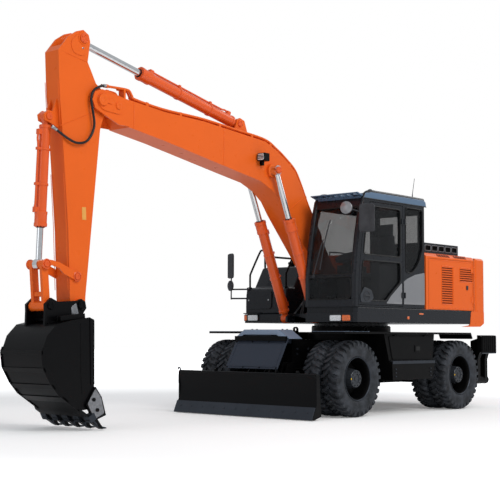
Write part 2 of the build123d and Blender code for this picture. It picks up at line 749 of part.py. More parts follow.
door_hinge = (door_rear - 12.0, upper_half_width + door_hinge_out)
door_hinge_heights = (1640.0, 2700.0)


def cab_door():
    y0, y1 = upper_half_width - cab_wall, upper_half_width
    frame = slab(door_outline, y0, y1)
    frame = frame - slab(door_window, y0 - 5, y1 + 5) - slab(door_pane, y0 - 5, y1 + 5)
    hx, hy = door_hinge
    for z in door_hinge_heights:
        leaf = block(hx, hx + 70, upper_half_width, hy - 2, z, z + 80)
        frame = join(frame, pin_z(hx, hy, z, z + 80, 10), leaf)
    return frame


def door_glass():
    y0, y1 = upper_half_width - (cab_wall + pane) / 2, upper_half_width - (cab_wall - pane) / 2
    return Compound(children=[slab(door_window, y0, y1), slab(door_pane, y0, y1)])


def cabin_middle():
    # the seat's centre line, and the room from it to either wall
    y = (cab_inner_y + upper_half_width) / 2
    return y, upper_half_width - cab_wall - y


def seat():
    # cushion, backrest and headrest
    y, room = cabin_middle()
    cushion = block(300, 800, y - 0.55 * room, y + 0.55 * room, 1900, 2010)
    back = slab([(230, 1960), (310, 1960), (240, 2560), (160, 2560)], y - 0.55 * room, y + 0.55 * room)
    rest = slab([(150, 2560), (240, 2560), (220, 2740), (140, 2740)], y - 0.35 * room, y + 0.35 * room)
    return join(cushion, back, rest)


def cab_controls():
    # seat base, side consoles and the steering column stand on the cab's floor
    y, room = cabin_middle()
    low = cab_floor + cab_wall
    plinth = block(330, 760, y - 0.43 * room, y + 0.43 * room, low, 1900)
    # inner and outer side of each console, as shares of the room
    sides = ((-0.95, -0.57), (0.57, 0.95))
    consoles = [block(380, 900, y + inner * room, y + outer * room, low, 2120) for inner, outer in sides]
    decks = block(400, 740, y - 0.6 * room, y + 0.6 * room, low, low + 60)
    column = slab([(1180, low), (1290, low), (1190, 2200), (1110, 2200)], y - 45, y + 45)
    wheel = bar((1120, y, 2190), (1135, y, 2225), 0.48 * room)
    tread = block(400, 1280, y - 60, y + 60, low, low + 12)
    return join(plinth, *consoles, decks, tread, column, wheel)


def tank_and_steps():
    # right-hand side: tool box with steps at the front, fuel tank behind and above it
    outer, inner = -upper_half_width, -430
    base = platform_bottom + 150
    front = [(560, base), (560, 1830), (960, 1830), (1020, 1790), (1035, 1640), (1035, base)]
    tank = [(hood_front + 10, base), (hood_front + 10, 2180), (640, 2150), (830, 1830), (600, 1800),
            (600, base)]
    solid = join(slab(front, outer, inner), slab(tank, outer, inner))
    inside = [(hood_front + 30, base + 20), (hood_front + 30, 2160), (600, 2130), (600, base + 20)]
    return solid - slab(inside, outer + 20, inner - 20)


def handrail():
    # rail along the top of the fuel tank
    y = -upper_half_width + 40
    return join(
        bar((620, y, 2145), (620, y, 2330), 16),
        bar((-60, y, 2168), (-60, y, 2330), 16),
        bar((-76, y, 2330), (636, y, 2330), 16),
    )


def mirror_plate(x, y, z, width, height, turn):
    # an upright mirror, its back turned from +X towards +Y by that many degrees
    half = mirror_case / 2
    return Pos(x, y, z) * Rot(0, 0, turn) * block(-half, half, -width / 2, width / 2, -height / 2,
                                                  height / 2)


def mirror_reach(width, turn):
    # how far a turned mirror of this width reaches sideways from its middle
    angle = abs(turn) * pi / 180
    return (width * cos(angle) + mirror_case * sin(angle)) / 2


def mirror_disc(x, y, z, radius, turn):
    place = Pos(x, y, z) * Rot(0, 0, turn) * Rot(0, 90, 0)
    return place * Solid.make_cylinder(radius, mirror_case, Plane(origin=(0, 0, -mirror_case / 2)))


def mirror_right():
    # two bars out from the tool box to a post, with a tall mirror over a round one
    turn, width = -20, 160
    foot_x, foot_y = 1022, -upper_half_width + 40
    x, y = 1150, -mirror_out + mirror_reach(width, turn)
    post = bar((x - 14, y, 1650), (x - 14, y, 2340), 10)
    bars = [bar((foot_x, foot_y, z), (x - 14, y, z), 12) for z in (1665, 1805)]
    foot = bar((foot_x, foot_y, 1640), (foot_x, foot_y, 1830), 14)
    tall = mirror_plate(x, y, 2165, width, 360, turn)
    small = mirror_disc(x, y, 1860, 78, turn)
    return join(post, *bars, foot, tall, small)


def mirror_left():
    # arm from the front pillar, with an upright mirror outside and a round one ahead of the windscreen
    turn, width = 13, 205
    start = (1385, upper_half_width - 20, 2800)
    x, y, z = 1530, mirror_out - mirror_reach(width, turn), 2700
    ahead = (1620, 1138, 2850)
    reach = bar(start, (x, y, start[2]), 11)
    front = bar(start, ahead, 9)
    return join(reach, front, mirror_plate(x, y, z, width, 365, turn), mirror_disc(*ahead, 84, 10))


def front_lamps():
    # head lamps with their turn lamps, on the sill's front and on the tool box
    # front face, inner side, outer side, bottom, top
    places = ((1540, 800, 1000, 1300, 1390), (1540, 1012, 1160, 1300, 1390),
              (1040, -1165, -960, 1320, 1415),
              (1040, -1240, -1177, 1320, 1415))
    return Compound(children=[block(x, x + 18, y0, y1, z0, z1) for x, y0, y1, z0, z1 in places])


def boom_lamp():
    # work lamp on its bracket, on the boom's left side
    y = boom_half
    bracket = block(2290, 2330, y, y + 55, 3440, 3500)
    body = block(2290, 2400, y + 20, y + 150, 3490, 3600)
    return join(bracket, body)


def boom():
    # welded box, elbowed, with a fork for the arm at its tip
    # underside from the foot to the fork, then the top side back
    under = [(480, 1845), (725, 1665), (1240, 2260), (1740, 2810), (1890, 3000), (2070, 3130), (2320, 3230),
             (2730, 3300), (4150, 3550), (4760, 3640), (4860, 3760)]
    over = [(4860, 3990), (4700, 3975), (4150, 3920), (3440, 3900), (2790, 3845), (2210, 3790),
            (1960, 3690),
            (1760, 3580), (1560, 3440), (1420, 3240), (1260, 2960)]
    outline = under + over
    inside = boom_half - boom_plate
    web = slab(outline, -boom_half, boom_half) - slab(inset(outline, boom_plate), -inside, inside)
    fork_outline = [(4700, 3650), (4920, 3650), (5180, 3750), (5300, 3800), (5350, 3900), (5310, 4000),
                    (5200, 4045),
                    (5060, 4030), (4860, 3990), (4700, 3970)]
    gap = arm_half + 30
    forks = [slab(fork_outline, y0, y1) for y0, y1 in ((gap, boom_half), (-boom_half, -gap))]
    tip = pin_y(boom_tip, -boom_half - 12, boom_half + 12, tip_pin_radius)
    foot = pin_y(boom_foot, -boom_half, boom_half, 150)
    whole = join(web, foot, tip, *forks)
    for side in (-1, 1):
        boss_end = boom_cylinder_y - boom_cylinder[4] / 2 - side_clearance
        y0, y1 = sorted((side * (boom_half - 5), side * boss_end))
        whole = join(whole, pin_y(boom_cylinder_eye, y0, y1, 95))
    fx, fz = arm_cylinder_foot
    ear = [(fx - 190, 3790), (fx - 90, fz + 50), (fx, fz + 80), (fx + 60, fz + 50), (fx + 130, 3820)]
    width = arm_cylinder[4] / 2 + side_clearance
    for y0, y1 in ((width, width + ear_plate), (-width - ear_plate, -width)):
        whole = join(whole, slab(ear, y0, y1))
    whole = join(whole, pin_y(arm_cylinder_foot, -width - ear_plate, width + ear_plate, arm_cylinder[5]))
    return whole - pin_y(boom_foot, -boom_half - 10, boom_half + 10, foot_pin_radius + running_clearance)


def arm():
    # box arm: two side plates, front and rear plates, an open head for the cylinder's eye
    tx, tz = boom_tip
    px, pz = arm_tip
    # head, then the rear side down to the tip, then the front side back up
    head = [(5830, 4420), (5690, 4600), (5560, 4690), (5460, 4725), (5375, 4680), (5350, 4600),
            (5385, 4350)]
    rear = [(5250, 4110), (5060, 3985), (5045, 3830), (5130, 3700), (5175, 3560), (5365, 1560),
            (5370, 1440)]
    front = [(5420, 1350), (5520, 1340), (5585, 1420), (5600, 1540), (5640, 2310), (5695, 2930),
             (5755, 3510), (5800, 3900)]
    outline = head + rear + front
    cavity = [(5700, 4200), (5330, 4200), (5300, 3600), (5420, 1900), (5580, 1900)]
    solid = slab(outline, -arm_half, arm_half) - slab(cavity, 14 - arm_half, arm_half - 14)
    slot = [(5200, 4330), (5200, 4800), (5610, 4800), (5785, 4470), (5785, 4330)]
    width = arm_half - arm_plate
    solid = solid - slab(slot, -width, width)
    ex, ez = arm_cylinder_eye
    reach = arm_cylinder[4] / 2 + side_clearance
    for y0, y1 in ((reach, arm_half + 14), (-arm_half - 14, -reach)):
        solid = join(solid, pin_y(arm_cylinder_eye, y0, y1, 80))
    kx, kz = bucket_cylinder_foot
    ear = [(kx - 175, kz + 420), (kx - 50, kz + 60), (kx + 10, kz + 72), (kx + 70, kz + 20),
           (kx + 55, kz - 50),
           (kx - 20, kz - 75), (kx - 200, kz - 150)]
    near = bucket_cylinder[4] / 2 + side_clearance
    for y0, y1 in ((near, near + 28), (-near - 28, -near)):
        solid = join(solid, slab(ear, y0, y1))
    solid = join(solid, pin_y(bucket_cylinder_foot, -near - 28, near + 28, bucket_cylinder[5]))
    boss = arm_half + 30 - side_clearance
    lever_boss = lever_in - side_clearance
    solid = join(solid, pin_y(boom_tip, -boss, boss, 125), pin_y(arm_tip, -boss, boss, tip_boss_radius),
                 pin_y(lever_pin, -lever_boss, lever_boss, 62))
    bores = [
        pin_y(boom_tip, -boss - 5, boss + 5, tip_pin_radius + running_clearance),
        pin_y(arm_tip, -boss - 5, boss + 5, 38 + running_clearance),
        pin_y(lever_pin, -boss - 5, boss + 5, 32 + running_clearance),
    ]
    for bore in bores:
        solid = solid - bore
    return solid


def guide_levers():
    # two levers outside the arm on one pin, hollowed below to pass the tip's boss,
    # with short stubs for the link
    out = lever_in + lever_plate
    gx, gz = lever_pin
    length, way = along(lever_pin, link_joint)
    # share of the length, distance above the line between the pins
    edge = ((0, 50), (0.22, 58), (0.62, 76), (0.85, 68), (1, 54), (1, -54), (0.93, -46), (0.83, 12),
            (0.60, 12),
            (0.42, -30), (0, -50))
    shape = []
    for share, rise in edge:
        run = share * length
        shape.append((gx + way[0] * run - way[1] * rise, gz + way[1] * run + way[0] * rise))
    whole = pin_y(lever_pin, -out, out, 32)
    near = bucket_cylinder[4] / 2 + side_clearance
    for side in (-1, 1):
        y0, y1 = sorted((side * lever_in, side * out))
        s0, s1 = sorted((side * (near + 0.5), side * lever_in))
        whole = join(whole, slab(shape, y0, y1), pin_y(lever_pin, y0, y1, 50),
                     pin_y(link_joint, y0, y1, 54))
        whole = join(whole, pin_y(link_joint, s0, s1, 30))
    return whole


def bucket_link():
    # forked link from the levers' stubs down to the bucket's ear
    near = bucket_cylinder[4] / 2 + 0.5
    wide = arm_half + 30 - side_clearance
    jx, jz = link_joint
    lx, lz = link_pin
    length, way = along(link_pin, link_joint)
    side_x, side_z = -way[1] * 45, way[0] * 45
    shape = [(lx + side_x, lz + side_z), (lx - side_x, lz - side_z), (jx - side_x, jz - side_z),
             (jx + side_x, jz + side_z)]
    whole = pin_y(link_pin, -wide, wide, 58)
    for side in (-1, 1):
        y0, y1 = sorted((side * (near + 30), side * (near + 75)))
        e0, e1 = sorted((side * near, side * (lever_in - side_clearance)))
        whole = join(whole, slab(shape, y0, y1), pin_y(link_joint, e0, e1, 50))
    return whole - pin_y(link_joint, -wide - 5, wide + 5, 30 + running_clearance)


def bucket():
    # open towards the machine: wrapped back plate, side plates, lip with teeth, ears above
    outer = [(5540, 1294), (5760, 1262), (5985, 1215), (6120, 1085), (6190, 900), (6165, 730), (6060, 560),
             (5940, 430),
             (5640, 235)]
    inner = [(5655, 260), (5925, 452), (6042, 577), (6143, 737), (6167, 898), (6100, 1073), (5973, 1194),
             (5757, 1240),
             (5543, 1272)]
    wrap = slab(outer + inner, -bucket_half, bucket_half)
    side = [(5440, 1265), (5500, 1300), (5760, 1262), (5985, 1215), (6120, 1085), (6190, 900), (6165, 730),
            (6060, 560),
            (5940, 430), (5640, 235), (5430, 250), (5425, 510)]
    sides = [slab(side, y, y + bucket_plate) for y in (-bucket_half, bucket_half - bucket_plate)]
    lip = slab([(5660, 250), (5640, 215), (5440, 88), (5425, 105)], -lip_half, lip_half)
    whole = join(wrap, *sides, lip)
    cutter = [(5560, 300), (5425, 500), (5330, 380), (5262, 170), (5440, 110)]
    for y0, y1 in ((bucket_half, bucket_half + 30), (-bucket_half - 30, -bucket_half)):
        whole = join(whole, slab(cutter, y0, y1))
    tooth = [(5500, 165), (5540, 120), (5345, 14), (5325, 22), (5415, 130)]
    teeth = 5
    pitch = 2 * (lip_half - 35) / (teeth - 1)
    for index in range(teeth):
        y = -lip_half + 35 + index * pitch
        whole = join(whole, slab(tooth, y - 35, y + 35))
    px, pz = arm_tip
    lx, lz = link_pin
    near = arm_half + 30
    ear = [(px - 80, pz - 30), (px - 60, pz + 48), (px, pz + 76), (px + 62, pz + 54), (lx - 100, lz + 50),
           (lx, lz + 92),
           (lx + 85, lz + 20), (lx + 80, lz - 60), (6010, 1180), (5500, 1280)]
    for y0, y1 in ((near, near + 32), (-near - 32, -near)):
        whole = join(whole, slab(ear, y0, y1))
    return join(whole, pin_y(arm_tip, -near - 40, near + 40, 38))


def nodes():
    shapes = {
        "chassis_frame": chassis_frame(),
        "front_axle": front_axle(),
        "rear_axle": rear_axle(),
        "drive_line": drive_line(),
        "outrigger_frame": outrigger_frame(),
        "fender_steps": both(fender_side()),
        "front_cover": front_cover(),
        "knuckle_left": knuckle(),
        "knuckle_right": right_of(knuckle()),
        "blade": blade(),
        "outrigger_left": outrigger_arm(),
        "outrigger_right": right_of(outrigger_arm()),
        "platform": platform(),
        "counterweight": counterweight(),
        "hood_frame": hood_sides(),
        "engine_hood": engine_hood(),
        "intake_box": intake_box(),
        "side_door_left": hung_side_door(),
        "side_door_right": right_of(hung_side_door()),
        "engine": engine(),
        "cab_shell": cab_shell(),
        "cab_glass": cab_glass(),
        "cab_door": cab_door(),
        "door_glass": door_glass(),
        "cab_roof": cab_roof(),
        "seat": seat(),
        "cab_controls": cab_controls(),
        "fuel_tank": tank_and_steps(),
        "boom": boom(),
        "arm": arm(),
        "guide_levers": guide_levers(),
        "bucket_link": bucket_link(),
        "bucket": bucket(),
    }
    for name, x in axle_places:
        shapes[f"tyres_{name}_left"] = twin_tyres(x)
        shapes[f"tyres_{name}_right"] = right_of(twin_tyres(x))
        shapes[f"rim_{name}_left"] = twin_rim(x)
        shapes[f"rim_{name}_right"] = right_of(twin_rim(x))
    shapes["mirror_right"] = mirror_right() - shapes["fuel_tank"]
    shapes["mirror_left"] = mirror_left() - shapes["cab_shell"]
    shapes["handrail"] = handrail() - shapes["fuel_tank"]
    shapes["front_lamps"] = front_lamps()
    shapes["boom_lamp"] = boom_lamp()
    outer, inner = cylinder_pair("xz", boom_cylinder_y, boom_cylinder_foot, boom_cylinder_eye,
                                 boom_cylinder)
    shapes["boom_barrels"], shapes["boom_rods"] = both(outer), both(inner)
    outer, inner = cylinder_pair("xz", 0, arm_cylinder_foot, arm_cylinder_eye, arm_cylinder)
    shapes["arm_barrel"], shapes["arm_rod"] = outer, inner
    outer, inner = cylinder_pair("xz", 0, bucket_cylinder_foot, link_joint, bucket_cylinder)
    shapes["bucket_barrel"], shapes["bucket_rod"] = outer, inner
    outer, inner = cylinder_pair("xz", blade_cylinder_y, blade_cylinder_foot, blade_cylinder_eye,
                                 blade_cylinder)
    shapes["blade_barrels"], shapes["blade_rods"] = both(outer), both(inner)
    outer, inner = cylinder_pair("yz", outrigger_x, outrigger_foot, outrigger_eye, outrigger_cylinder)
    for side, turn in (("left", lambda shape: shape), ("right", right_of)):
        shapes[f"outrigger_barrel_{side}"] = turn(outer)
        shapes[f"outrigger_rod_{side}"] = turn(inner)
    return shapes


shapes = nodes()
whole_box = Compound(children=[s for shape in shapes.values() for s in shape.solids()]).bounding_box()
shift_x = -whole_box.center().X

if __name__ == "__main__":
    os.makedirs("parts", exist_ok=True)
    for name, shape in shapes.items():
        export_step(Pos(shift_x, 0, 0) * Compound(children=shape.solids()), f"parts/{name}.step")
    print("nodes", len(shapes), "shift", round(shift_x, 3), "size", whole_box.size)
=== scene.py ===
import bpy
import bmesh
import math
import numpy as np
from mathutils import Matrix, Vector
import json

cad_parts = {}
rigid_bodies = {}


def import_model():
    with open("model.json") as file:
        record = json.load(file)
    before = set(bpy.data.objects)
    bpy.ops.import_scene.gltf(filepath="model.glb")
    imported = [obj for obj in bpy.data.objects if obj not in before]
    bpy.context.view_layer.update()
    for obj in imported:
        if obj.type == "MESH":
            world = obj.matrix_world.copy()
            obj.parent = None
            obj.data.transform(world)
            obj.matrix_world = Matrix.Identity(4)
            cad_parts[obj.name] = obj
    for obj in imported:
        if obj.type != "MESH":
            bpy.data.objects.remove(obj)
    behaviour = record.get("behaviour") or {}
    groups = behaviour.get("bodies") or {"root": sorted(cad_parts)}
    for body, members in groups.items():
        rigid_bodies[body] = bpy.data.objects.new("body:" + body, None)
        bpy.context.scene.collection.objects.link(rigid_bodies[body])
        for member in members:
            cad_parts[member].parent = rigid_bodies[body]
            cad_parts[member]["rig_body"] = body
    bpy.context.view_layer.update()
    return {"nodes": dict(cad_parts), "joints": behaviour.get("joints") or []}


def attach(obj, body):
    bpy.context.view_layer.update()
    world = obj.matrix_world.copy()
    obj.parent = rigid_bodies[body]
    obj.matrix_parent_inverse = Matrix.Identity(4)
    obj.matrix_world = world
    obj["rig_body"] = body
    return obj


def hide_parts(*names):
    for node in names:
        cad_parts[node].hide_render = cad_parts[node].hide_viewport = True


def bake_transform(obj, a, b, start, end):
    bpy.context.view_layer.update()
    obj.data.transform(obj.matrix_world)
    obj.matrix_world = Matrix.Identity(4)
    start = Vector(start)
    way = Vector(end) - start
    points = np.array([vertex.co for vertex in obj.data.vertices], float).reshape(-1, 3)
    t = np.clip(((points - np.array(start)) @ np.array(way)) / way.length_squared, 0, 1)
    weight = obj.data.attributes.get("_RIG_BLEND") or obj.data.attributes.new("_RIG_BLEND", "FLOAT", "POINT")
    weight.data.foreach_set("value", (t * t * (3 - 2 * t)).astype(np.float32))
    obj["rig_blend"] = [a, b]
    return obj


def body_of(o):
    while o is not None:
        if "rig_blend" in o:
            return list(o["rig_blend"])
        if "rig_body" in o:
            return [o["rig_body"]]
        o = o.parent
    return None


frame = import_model()
jointAt = {j["name"]: np.array(j["pos_m"]) for j in frame["joints"] if "pos_m" in j}
slewX = jointAt["slew"][0]
print("frame loaded", len(frame["nodes"]), "nodes")


# each shape is (points, faces): points an n by 3 array in metres, x counted from the slew axis
def gridFaces(rows, columns, closeRows=False, closeColumns=False):
    # quads between neighbours of a rows by columns grid of points
    r = np.arange(rows if closeRows else rows - 1)
    c = np.arange(columns if closeColumns else columns - 1)
    r, c = np.meshgrid(r, c, indexing="ij")
    r1, c1 = (r + 1) % rows, (c + 1) % columns
    return np.stack([r * columns + c, r * columns + c1, r1 * columns + c1, r1 * columns + c], -1).reshape(-1, 4)


def gridShape(points, closeRows=False, closeColumns=False):
    # a grid of points with its quads, closed round where asked
    rows, columns = points.shape[:2]
    return points.reshape(-1, 3), [gridFaces(rows, columns, closeRows, closeColumns)]


def merged(*shapes):
    # several shapes as one, their face numbers moved up past the points before them
    points, faces, start = [], [], 0
    for p, f in shapes:
        points.append(p)
        faces += [a + start for a in f]
        start += len(p)
    return np.concatenate(points), faces


def mirrored(shape):
    # the same shape on the other side of the y = 0 plane
    points, faces = shape
    return points * np.array([1, -1, 1]), [a[:, ::-1] for a in faces]


def bothSides(shape):
    # the shape and its mirror image, as one
    return merged(shape, mirrored(shape))


def onSide(shape, side):
    # a left-hand shape as it is, or its mirror image for the right side
    return shape if side > 0 else mirrored(shape)


def axisFrame(direction):
    # two unit vectors square to a direction, and the direction itself
    n = np.array(direction, float)
    n /= np.linalg.norm(n)
    helper = np.array([0, 0, 1.0]) if abs(n[2]) < 0.9 else np.array([1.0, 0, 0])
    a = np.cross(helper, n)
    a /= np.linalg.norm(a)
    return a, np.cross(n, a), n


def lathe(profile, centre, direction=(0, 1, 0), sides=48):
    # point(i, t) = centre + along[i] n + radius[i] (cos t a + sin t b)
    profile = np.array(profile, float)
    a, b, n = axisFrame(direction)
    t = np.arange(sides) * 2 * math.pi / sides
    ring = np.cos(t)[:, None] * a + np.sin(t)[:, None] * b
    points = np.array(centre) + profile[:, 1][:, None, None] * n + profile[:, 0][:, None, None] * ring[None]
    return gridShape(points, closeColumns=True)


def prism(outline, low, high, plane="xz"):
    # a flat outline carried from low to high along the axis that the plane leaves out
    outline = np.array(outline, float)
    count = len(outline)
    order = {"xz": (0, 2, 1), "yz": (1, 2, 0), "xy": (0, 1, 2)}[plane]
    points = np.empty((2, count, 3))
    points[:, :, order[0]] = outline[:, 0]
    points[:, :, order[1]] = outline[:, 1]
    points[0, :, order[2]], points[1, :, order[2]] = low, high
    sides = gridFaces(2, count, closeColumns=True)
    ends = np.stack([np.arange(count)[::-1], np.arange(count) + count])
    return points.reshape(-1, 3), [sides, ends]


def rectangle(x0, x1, z0, z1):
    # four corners, anticlockwise from the lowest
    return [(x0, z0), (x1, z0), (x1, z1), (x0, z1)]


def boxShape(x0, x1, y0, y1, z0, z1):
    # a box between two values on each axis
    return prism(rectangle(x0, x1, z0, z1), y0, y1)


def smoothPath(stops, steps=8):
    # smooth curve through the stops: p(t) from four neighbours, a cubic in t for each gap
    stops = np.array(stops, float)
    padded = np.concatenate([2 * stops[:1] - stops[1:2], stops, 2 * stops[-1:] - stops[-2:-1]])
    t = np.linspace(0, 1, steps, endpoint=False)[None, :, None]
    p0, p1, p2, p3 = (padded[i:len(padded) - 3 + i][:, None] for i in range(4))
    curve = p1 + (p2 - p0) / 2 * t + (p0 - 2.5 * p1 + 2 * p2 - p3 / 2) * t ** 2
    curve = curve + (1.5 * p1 - p0 / 2 - 1.5 * p2 + p3 / 2) * t ** 3
    return np.concatenate([curve.reshape(-1, 3), stops[-1:]])


def tube(path, radius, sides=12, ends=True):
    # point(i, t) = path[i] + radius[i] (cos t a[i] + sin t b[i]), a and b square to the path
    path = np.array(path, float)
    along = np.gradient(path, axis=0)
    along /= np.linalg.norm(along, axis=1)[:, None]
    spread = np.ptp(path, axis=0)
    helper = np.eye(3)[int(np.argmin(spread))]
    a = np.cross(along, helper)
    a /= np.linalg.norm(a, axis=1)[:, None]
    b = np.cross(along, a)
    t = np.arange(sides) * 2 * math.pi / sides
    ring = np.cos(t)[None, :, None] * a[:, None] + np.sin(t)[None, :, None] * b[:, None]
    radius = np.broadcast_to(radius, (len(path),))[:, None, None]
    points = path[:, None] + radius * ring
    if ends:
        first, last = np.repeat(path[None, :1], sides, 1), np.repeat(path[None, -1:], sides, 1)
        points = np.concatenate([first, points, last])
    return gridShape(points, closeColumns=True)


def boltHeads(places, direction, radius=0.012, height=0.009, sides=6):
    # hexagons with a chamfered top, all at once: point = place + ring * radius + direction * height
    places = np.array(places, float).reshape(-1, 3)
    a, b, n = axisFrame(direction)
    t = np.arange(sides) * 2 * math.pi / sides
    ring = np.cos(t)[:, None] * a + np.sin(t)[:, None] * b
    foot, shoulder = ring * radius - n * 0.002, ring * radius + n * height * 0.75
    one = np.concatenate([foot, shoulder, ring * radius * 0.8 + n * height])
    points = (places[:, None] + one[None]).reshape(-1, 3)
    start = (np.arange(len(places)) * 3 * sides)[:, None, None]
    around = (gridFaces(3, sides, closeColumns=True)[None] + start).reshape(-1, 4)
    tops = (np.arange(2 * sides, 3 * sides)[None] + start[:, 0]).reshape(-1, sides)
    return points, [around, tops]


def boxAt(centre, size, turn=0.0, axis="y"):
    # a box about its centre, turned by so many degrees about one axis
    c, s = math.cos(math.radians(turn)), math.sin(math.radians(turn))
    points, faces = boxShape(-size[0] / 2, size[0] / 2, -size[1] / 2, size[1] / 2, -size[2] / 2, size[2] / 2)
    turned = {
        "x": ((1, 0, 0), (0, c, -s), (0, s, c)),
        "y": ((c, 0, s), (0, 1, 0), (-s, 0, c)),
        "z": ((c, -s, 0), (s, c, 0), (0, 0, 1)),
    }
    return points @ np.array(turned[axis]).T + np.array(centre), faces


def pipe(stops, radius, steps=8, sides=12):
    # a tube of one radius along the smooth curve through its stops
    return tube(smoothPath(stops, steps), radius, sides)


def atSide(line, y):
    # (x, z) pairs as points at one y
    return [(x, y, z) for x, z in line]


def raised(line, lift):
    # the line of (x, z) pairs moved out square to itself: point + lift (-dz, dx) / length
    line = np.array(line, float)
    run = np.gradient(line, axis=0)
    run /= np.linalg.norm(run, axis=1)[:, None]
    return line + lift * np.stack([run[:, 1], -run[:, 0]], -1)


def weldBead(stops, radius=0.0045, pitch=0.012):
    # a rippled bead: radius (1 + 0.16 sin(2 pi s / pitch)) along the line's length s
    stops = np.array(stops, float)
    parts = []
    for start, end in zip(stops[:-1], stops[1:]):
        length = np.linalg.norm(end - start)
        count = max(6, int(length / pitch * 3))
        parts.append(start + (end - start) * np.linspace(0, 1, count, endpoint=False)[:, None])
    path = np.concatenate(parts + [stops[-1:]])
    s = np.concatenate([[0], np.cumsum(np.linalg.norm(np.diff(path, axis=0), axis=1))])
    return tube(path, radius * (1 + 0.16 * np.sin(2 * math.pi * s / pitch)), 6)


def pinCap(x, y, z, side, r, out=0.02, bolts=0):
    # a pin's end: chamfered disc, a dimple in its middle and, where asked, a ring of bolts
    edge = [(r, -0.004), (r, out * 0.7), (r - 0.005, out)]
    dimple = [(0.36 * r, out), (0.3 * r, out - 0.004), (0, out - 0.004)]
    disc = lathe(edge + dimple, (x, y, z), (0, side, 0), 36)
    if not bolts:
        return disc
    t = np.arange(bolts) * 2 * math.pi / bolts + 0.4
    places = np.stack([x + 0.68 * r * np.cos(t), np.full_like(t, y + side * out), z + 0.68 * r * np.sin(t)], -1)
    return merged(disc, boltHeads(places, (0, side, 0), 0.009, 0.007))


def rounded(outline, radius, steps=5):
    # the outline with each corner replaced by an arc: a quadratic curve between points radius from the corner
    outline = np.array(outline, float)
    corners = []
    for before, at, after in zip(np.roll(outline, 1, 0), outline, np.roll(outline, -1, 0)):
        a, b = before - at, after - at
        la, lb = np.linalg.norm(a), np.linalg.norm(b)
        reach = min(radius, 0.45 * la, 0.45 * lb)
        p, q = at + a / la * reach, at + b / lb * reach
        t = np.linspace(0, 1, steps)[:, None]
        corners.append((1 - t) ** 2 * p + 2 * t * (1 - t) * at + t ** 2 * q)
    return np.concatenate(corners)


def wallPlate(outline, side, near, far):
    # a flat outline on one side, between two distances from the middle plane
    return prism(outline, *sorted((side * near, side * far)))


def roundedPlate(x0, x1, z0, z1, corner, low, high, plane="xz"):
    # a rectangle with rounded corners, carried from low to high
    return prism(rounded(rectangle(x0, x1, z0, z1), corner), low, high, plane)


def beadRound(outline, y, radius=0.009, corner=0.05, sides=8):
    # a closed bead along an outline with rounded corners, in a wall at one y
    line = rounded(outline, corner)
    return tube(atSide(np.concatenate([line, line[:2]]), y), radius, sides, ends=False)


def addPiece(name, shape, body, look, smooth=40.0, bevel=None, segments=2):
    # puts a shape into a mesh, closes its seams, rides it on a body and finishes it
    points, faces = shape
    mesh = bpy.data.meshes.new(name)
    flat = [row for a in faces for row in a.tolist()]
    mesh.from_pydata((points + np.array([slewX, 0, 0])).tolist(), [], flat)
    work = bmesh.new()
    work.from_mesh(mesh)
    bmesh.ops.remove_doubles(work, verts=work.verts, dist=1e-5)
    bmesh.ops.dissolve_degenerate(work, edges=work.edges, dist=1e-6)
    bmesh.ops.recalc_face_normals(work, faces=work.faces)
    work.to_mesh(mesh)
    work.free()
    obj = bpy.data.objects.new(name, mesh)
    bpy.context.collection.objects.link(obj)
    finishPiece(obj, body, finish[look], smooth, bevel, segments)
    return obj


def finishPiece(obj, body, material, smooth=40.0, bevel=None, segments=2):
    # gives a piece its finish, softened edges and body
    mesh = obj.data
    mesh.materials.clear()
    mesh.materials.append(material)
    mesh.shade_smooth()
    if bevel:
        edge = obj.modifiers.new("edge", "BEVEL")
        edge.width = bevel
        edge.segments = segments
        edge.limit_method = "ANGLE"
        edge.angle_limit = math.radians(28)
        edge.harden_normals = True
    mesh.set_sharp_from_angle(angle=math.radians(smooth))
    if body:
        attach(obj, body)


def dressed(node, material, bevel):
    # a merged copy of a CAD node, with its flat triangles dissolved and its edges softened
    source = frame["nodes"][node]
    mesh = source.data.copy()
    mesh.name = node + "Skin"
    work = bmesh.new()
    work.from_mesh(mesh)
    bmesh.ops.remove_doubles(work, verts=work.verts, dist=2e-5)
    bmesh.ops.dissolve_limit(work, angle_limit=math.radians(1.0), verts=work.verts, edges=work.edges)
    work.to_mesh(mesh)
    work.free()
    obj = bpy.data.objects.new(node + "Skin", mesh)
    bpy.context.collection.objects.link(obj)
    for attribute in [a.name for a in mesh.attributes if a.name == "custom_normal"]:
        mesh.attributes.remove(mesh.attributes[attribute])
    finishPiece(obj, body_of(source)[0], material, smooth=35.0, bevel=bevel, segments=3)
    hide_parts(node)


def carried(node, material):
    # a CAD node that shows as it is, with a finished material
    obj = frame["nodes"][node]
    obj.data.materials.clear()
    obj.data.materials.append(material)


def newMaterial(name):
    # a bare material with its nodes, links, shader and Object coordinates
    material = bpy.data.materials.new(name)
    material.use_nodes = True
    nodes = material.node_tree.nodes
    nodes.clear()
    output = nodes.new("ShaderNodeOutputMaterial")
    shader = nodes.new("ShaderNodeBsdfPrincipled")
    material.node_tree.links.new(shader.outputs[0], output.inputs[0])
    place = nodes.new("ShaderNodeTexCoord")
    return material, nodes, material.node_tree.links, shader, place.outputs["Object"]


def noise(nodes, links, place, scale, detail=4.0, rough=0.55):
    # a cloudy value between 0 and 1, finer as the scale grows
    n = nodes.new("ShaderNodeTexNoise")
    n.inputs["Scale"].default_value = scale
    n.inputs["Detail"].default_value = detail
    n.inputs["Roughness"].default_value = rough
    links.new(place, n.inputs["Vector"])
    return n.outputs["Fac"]


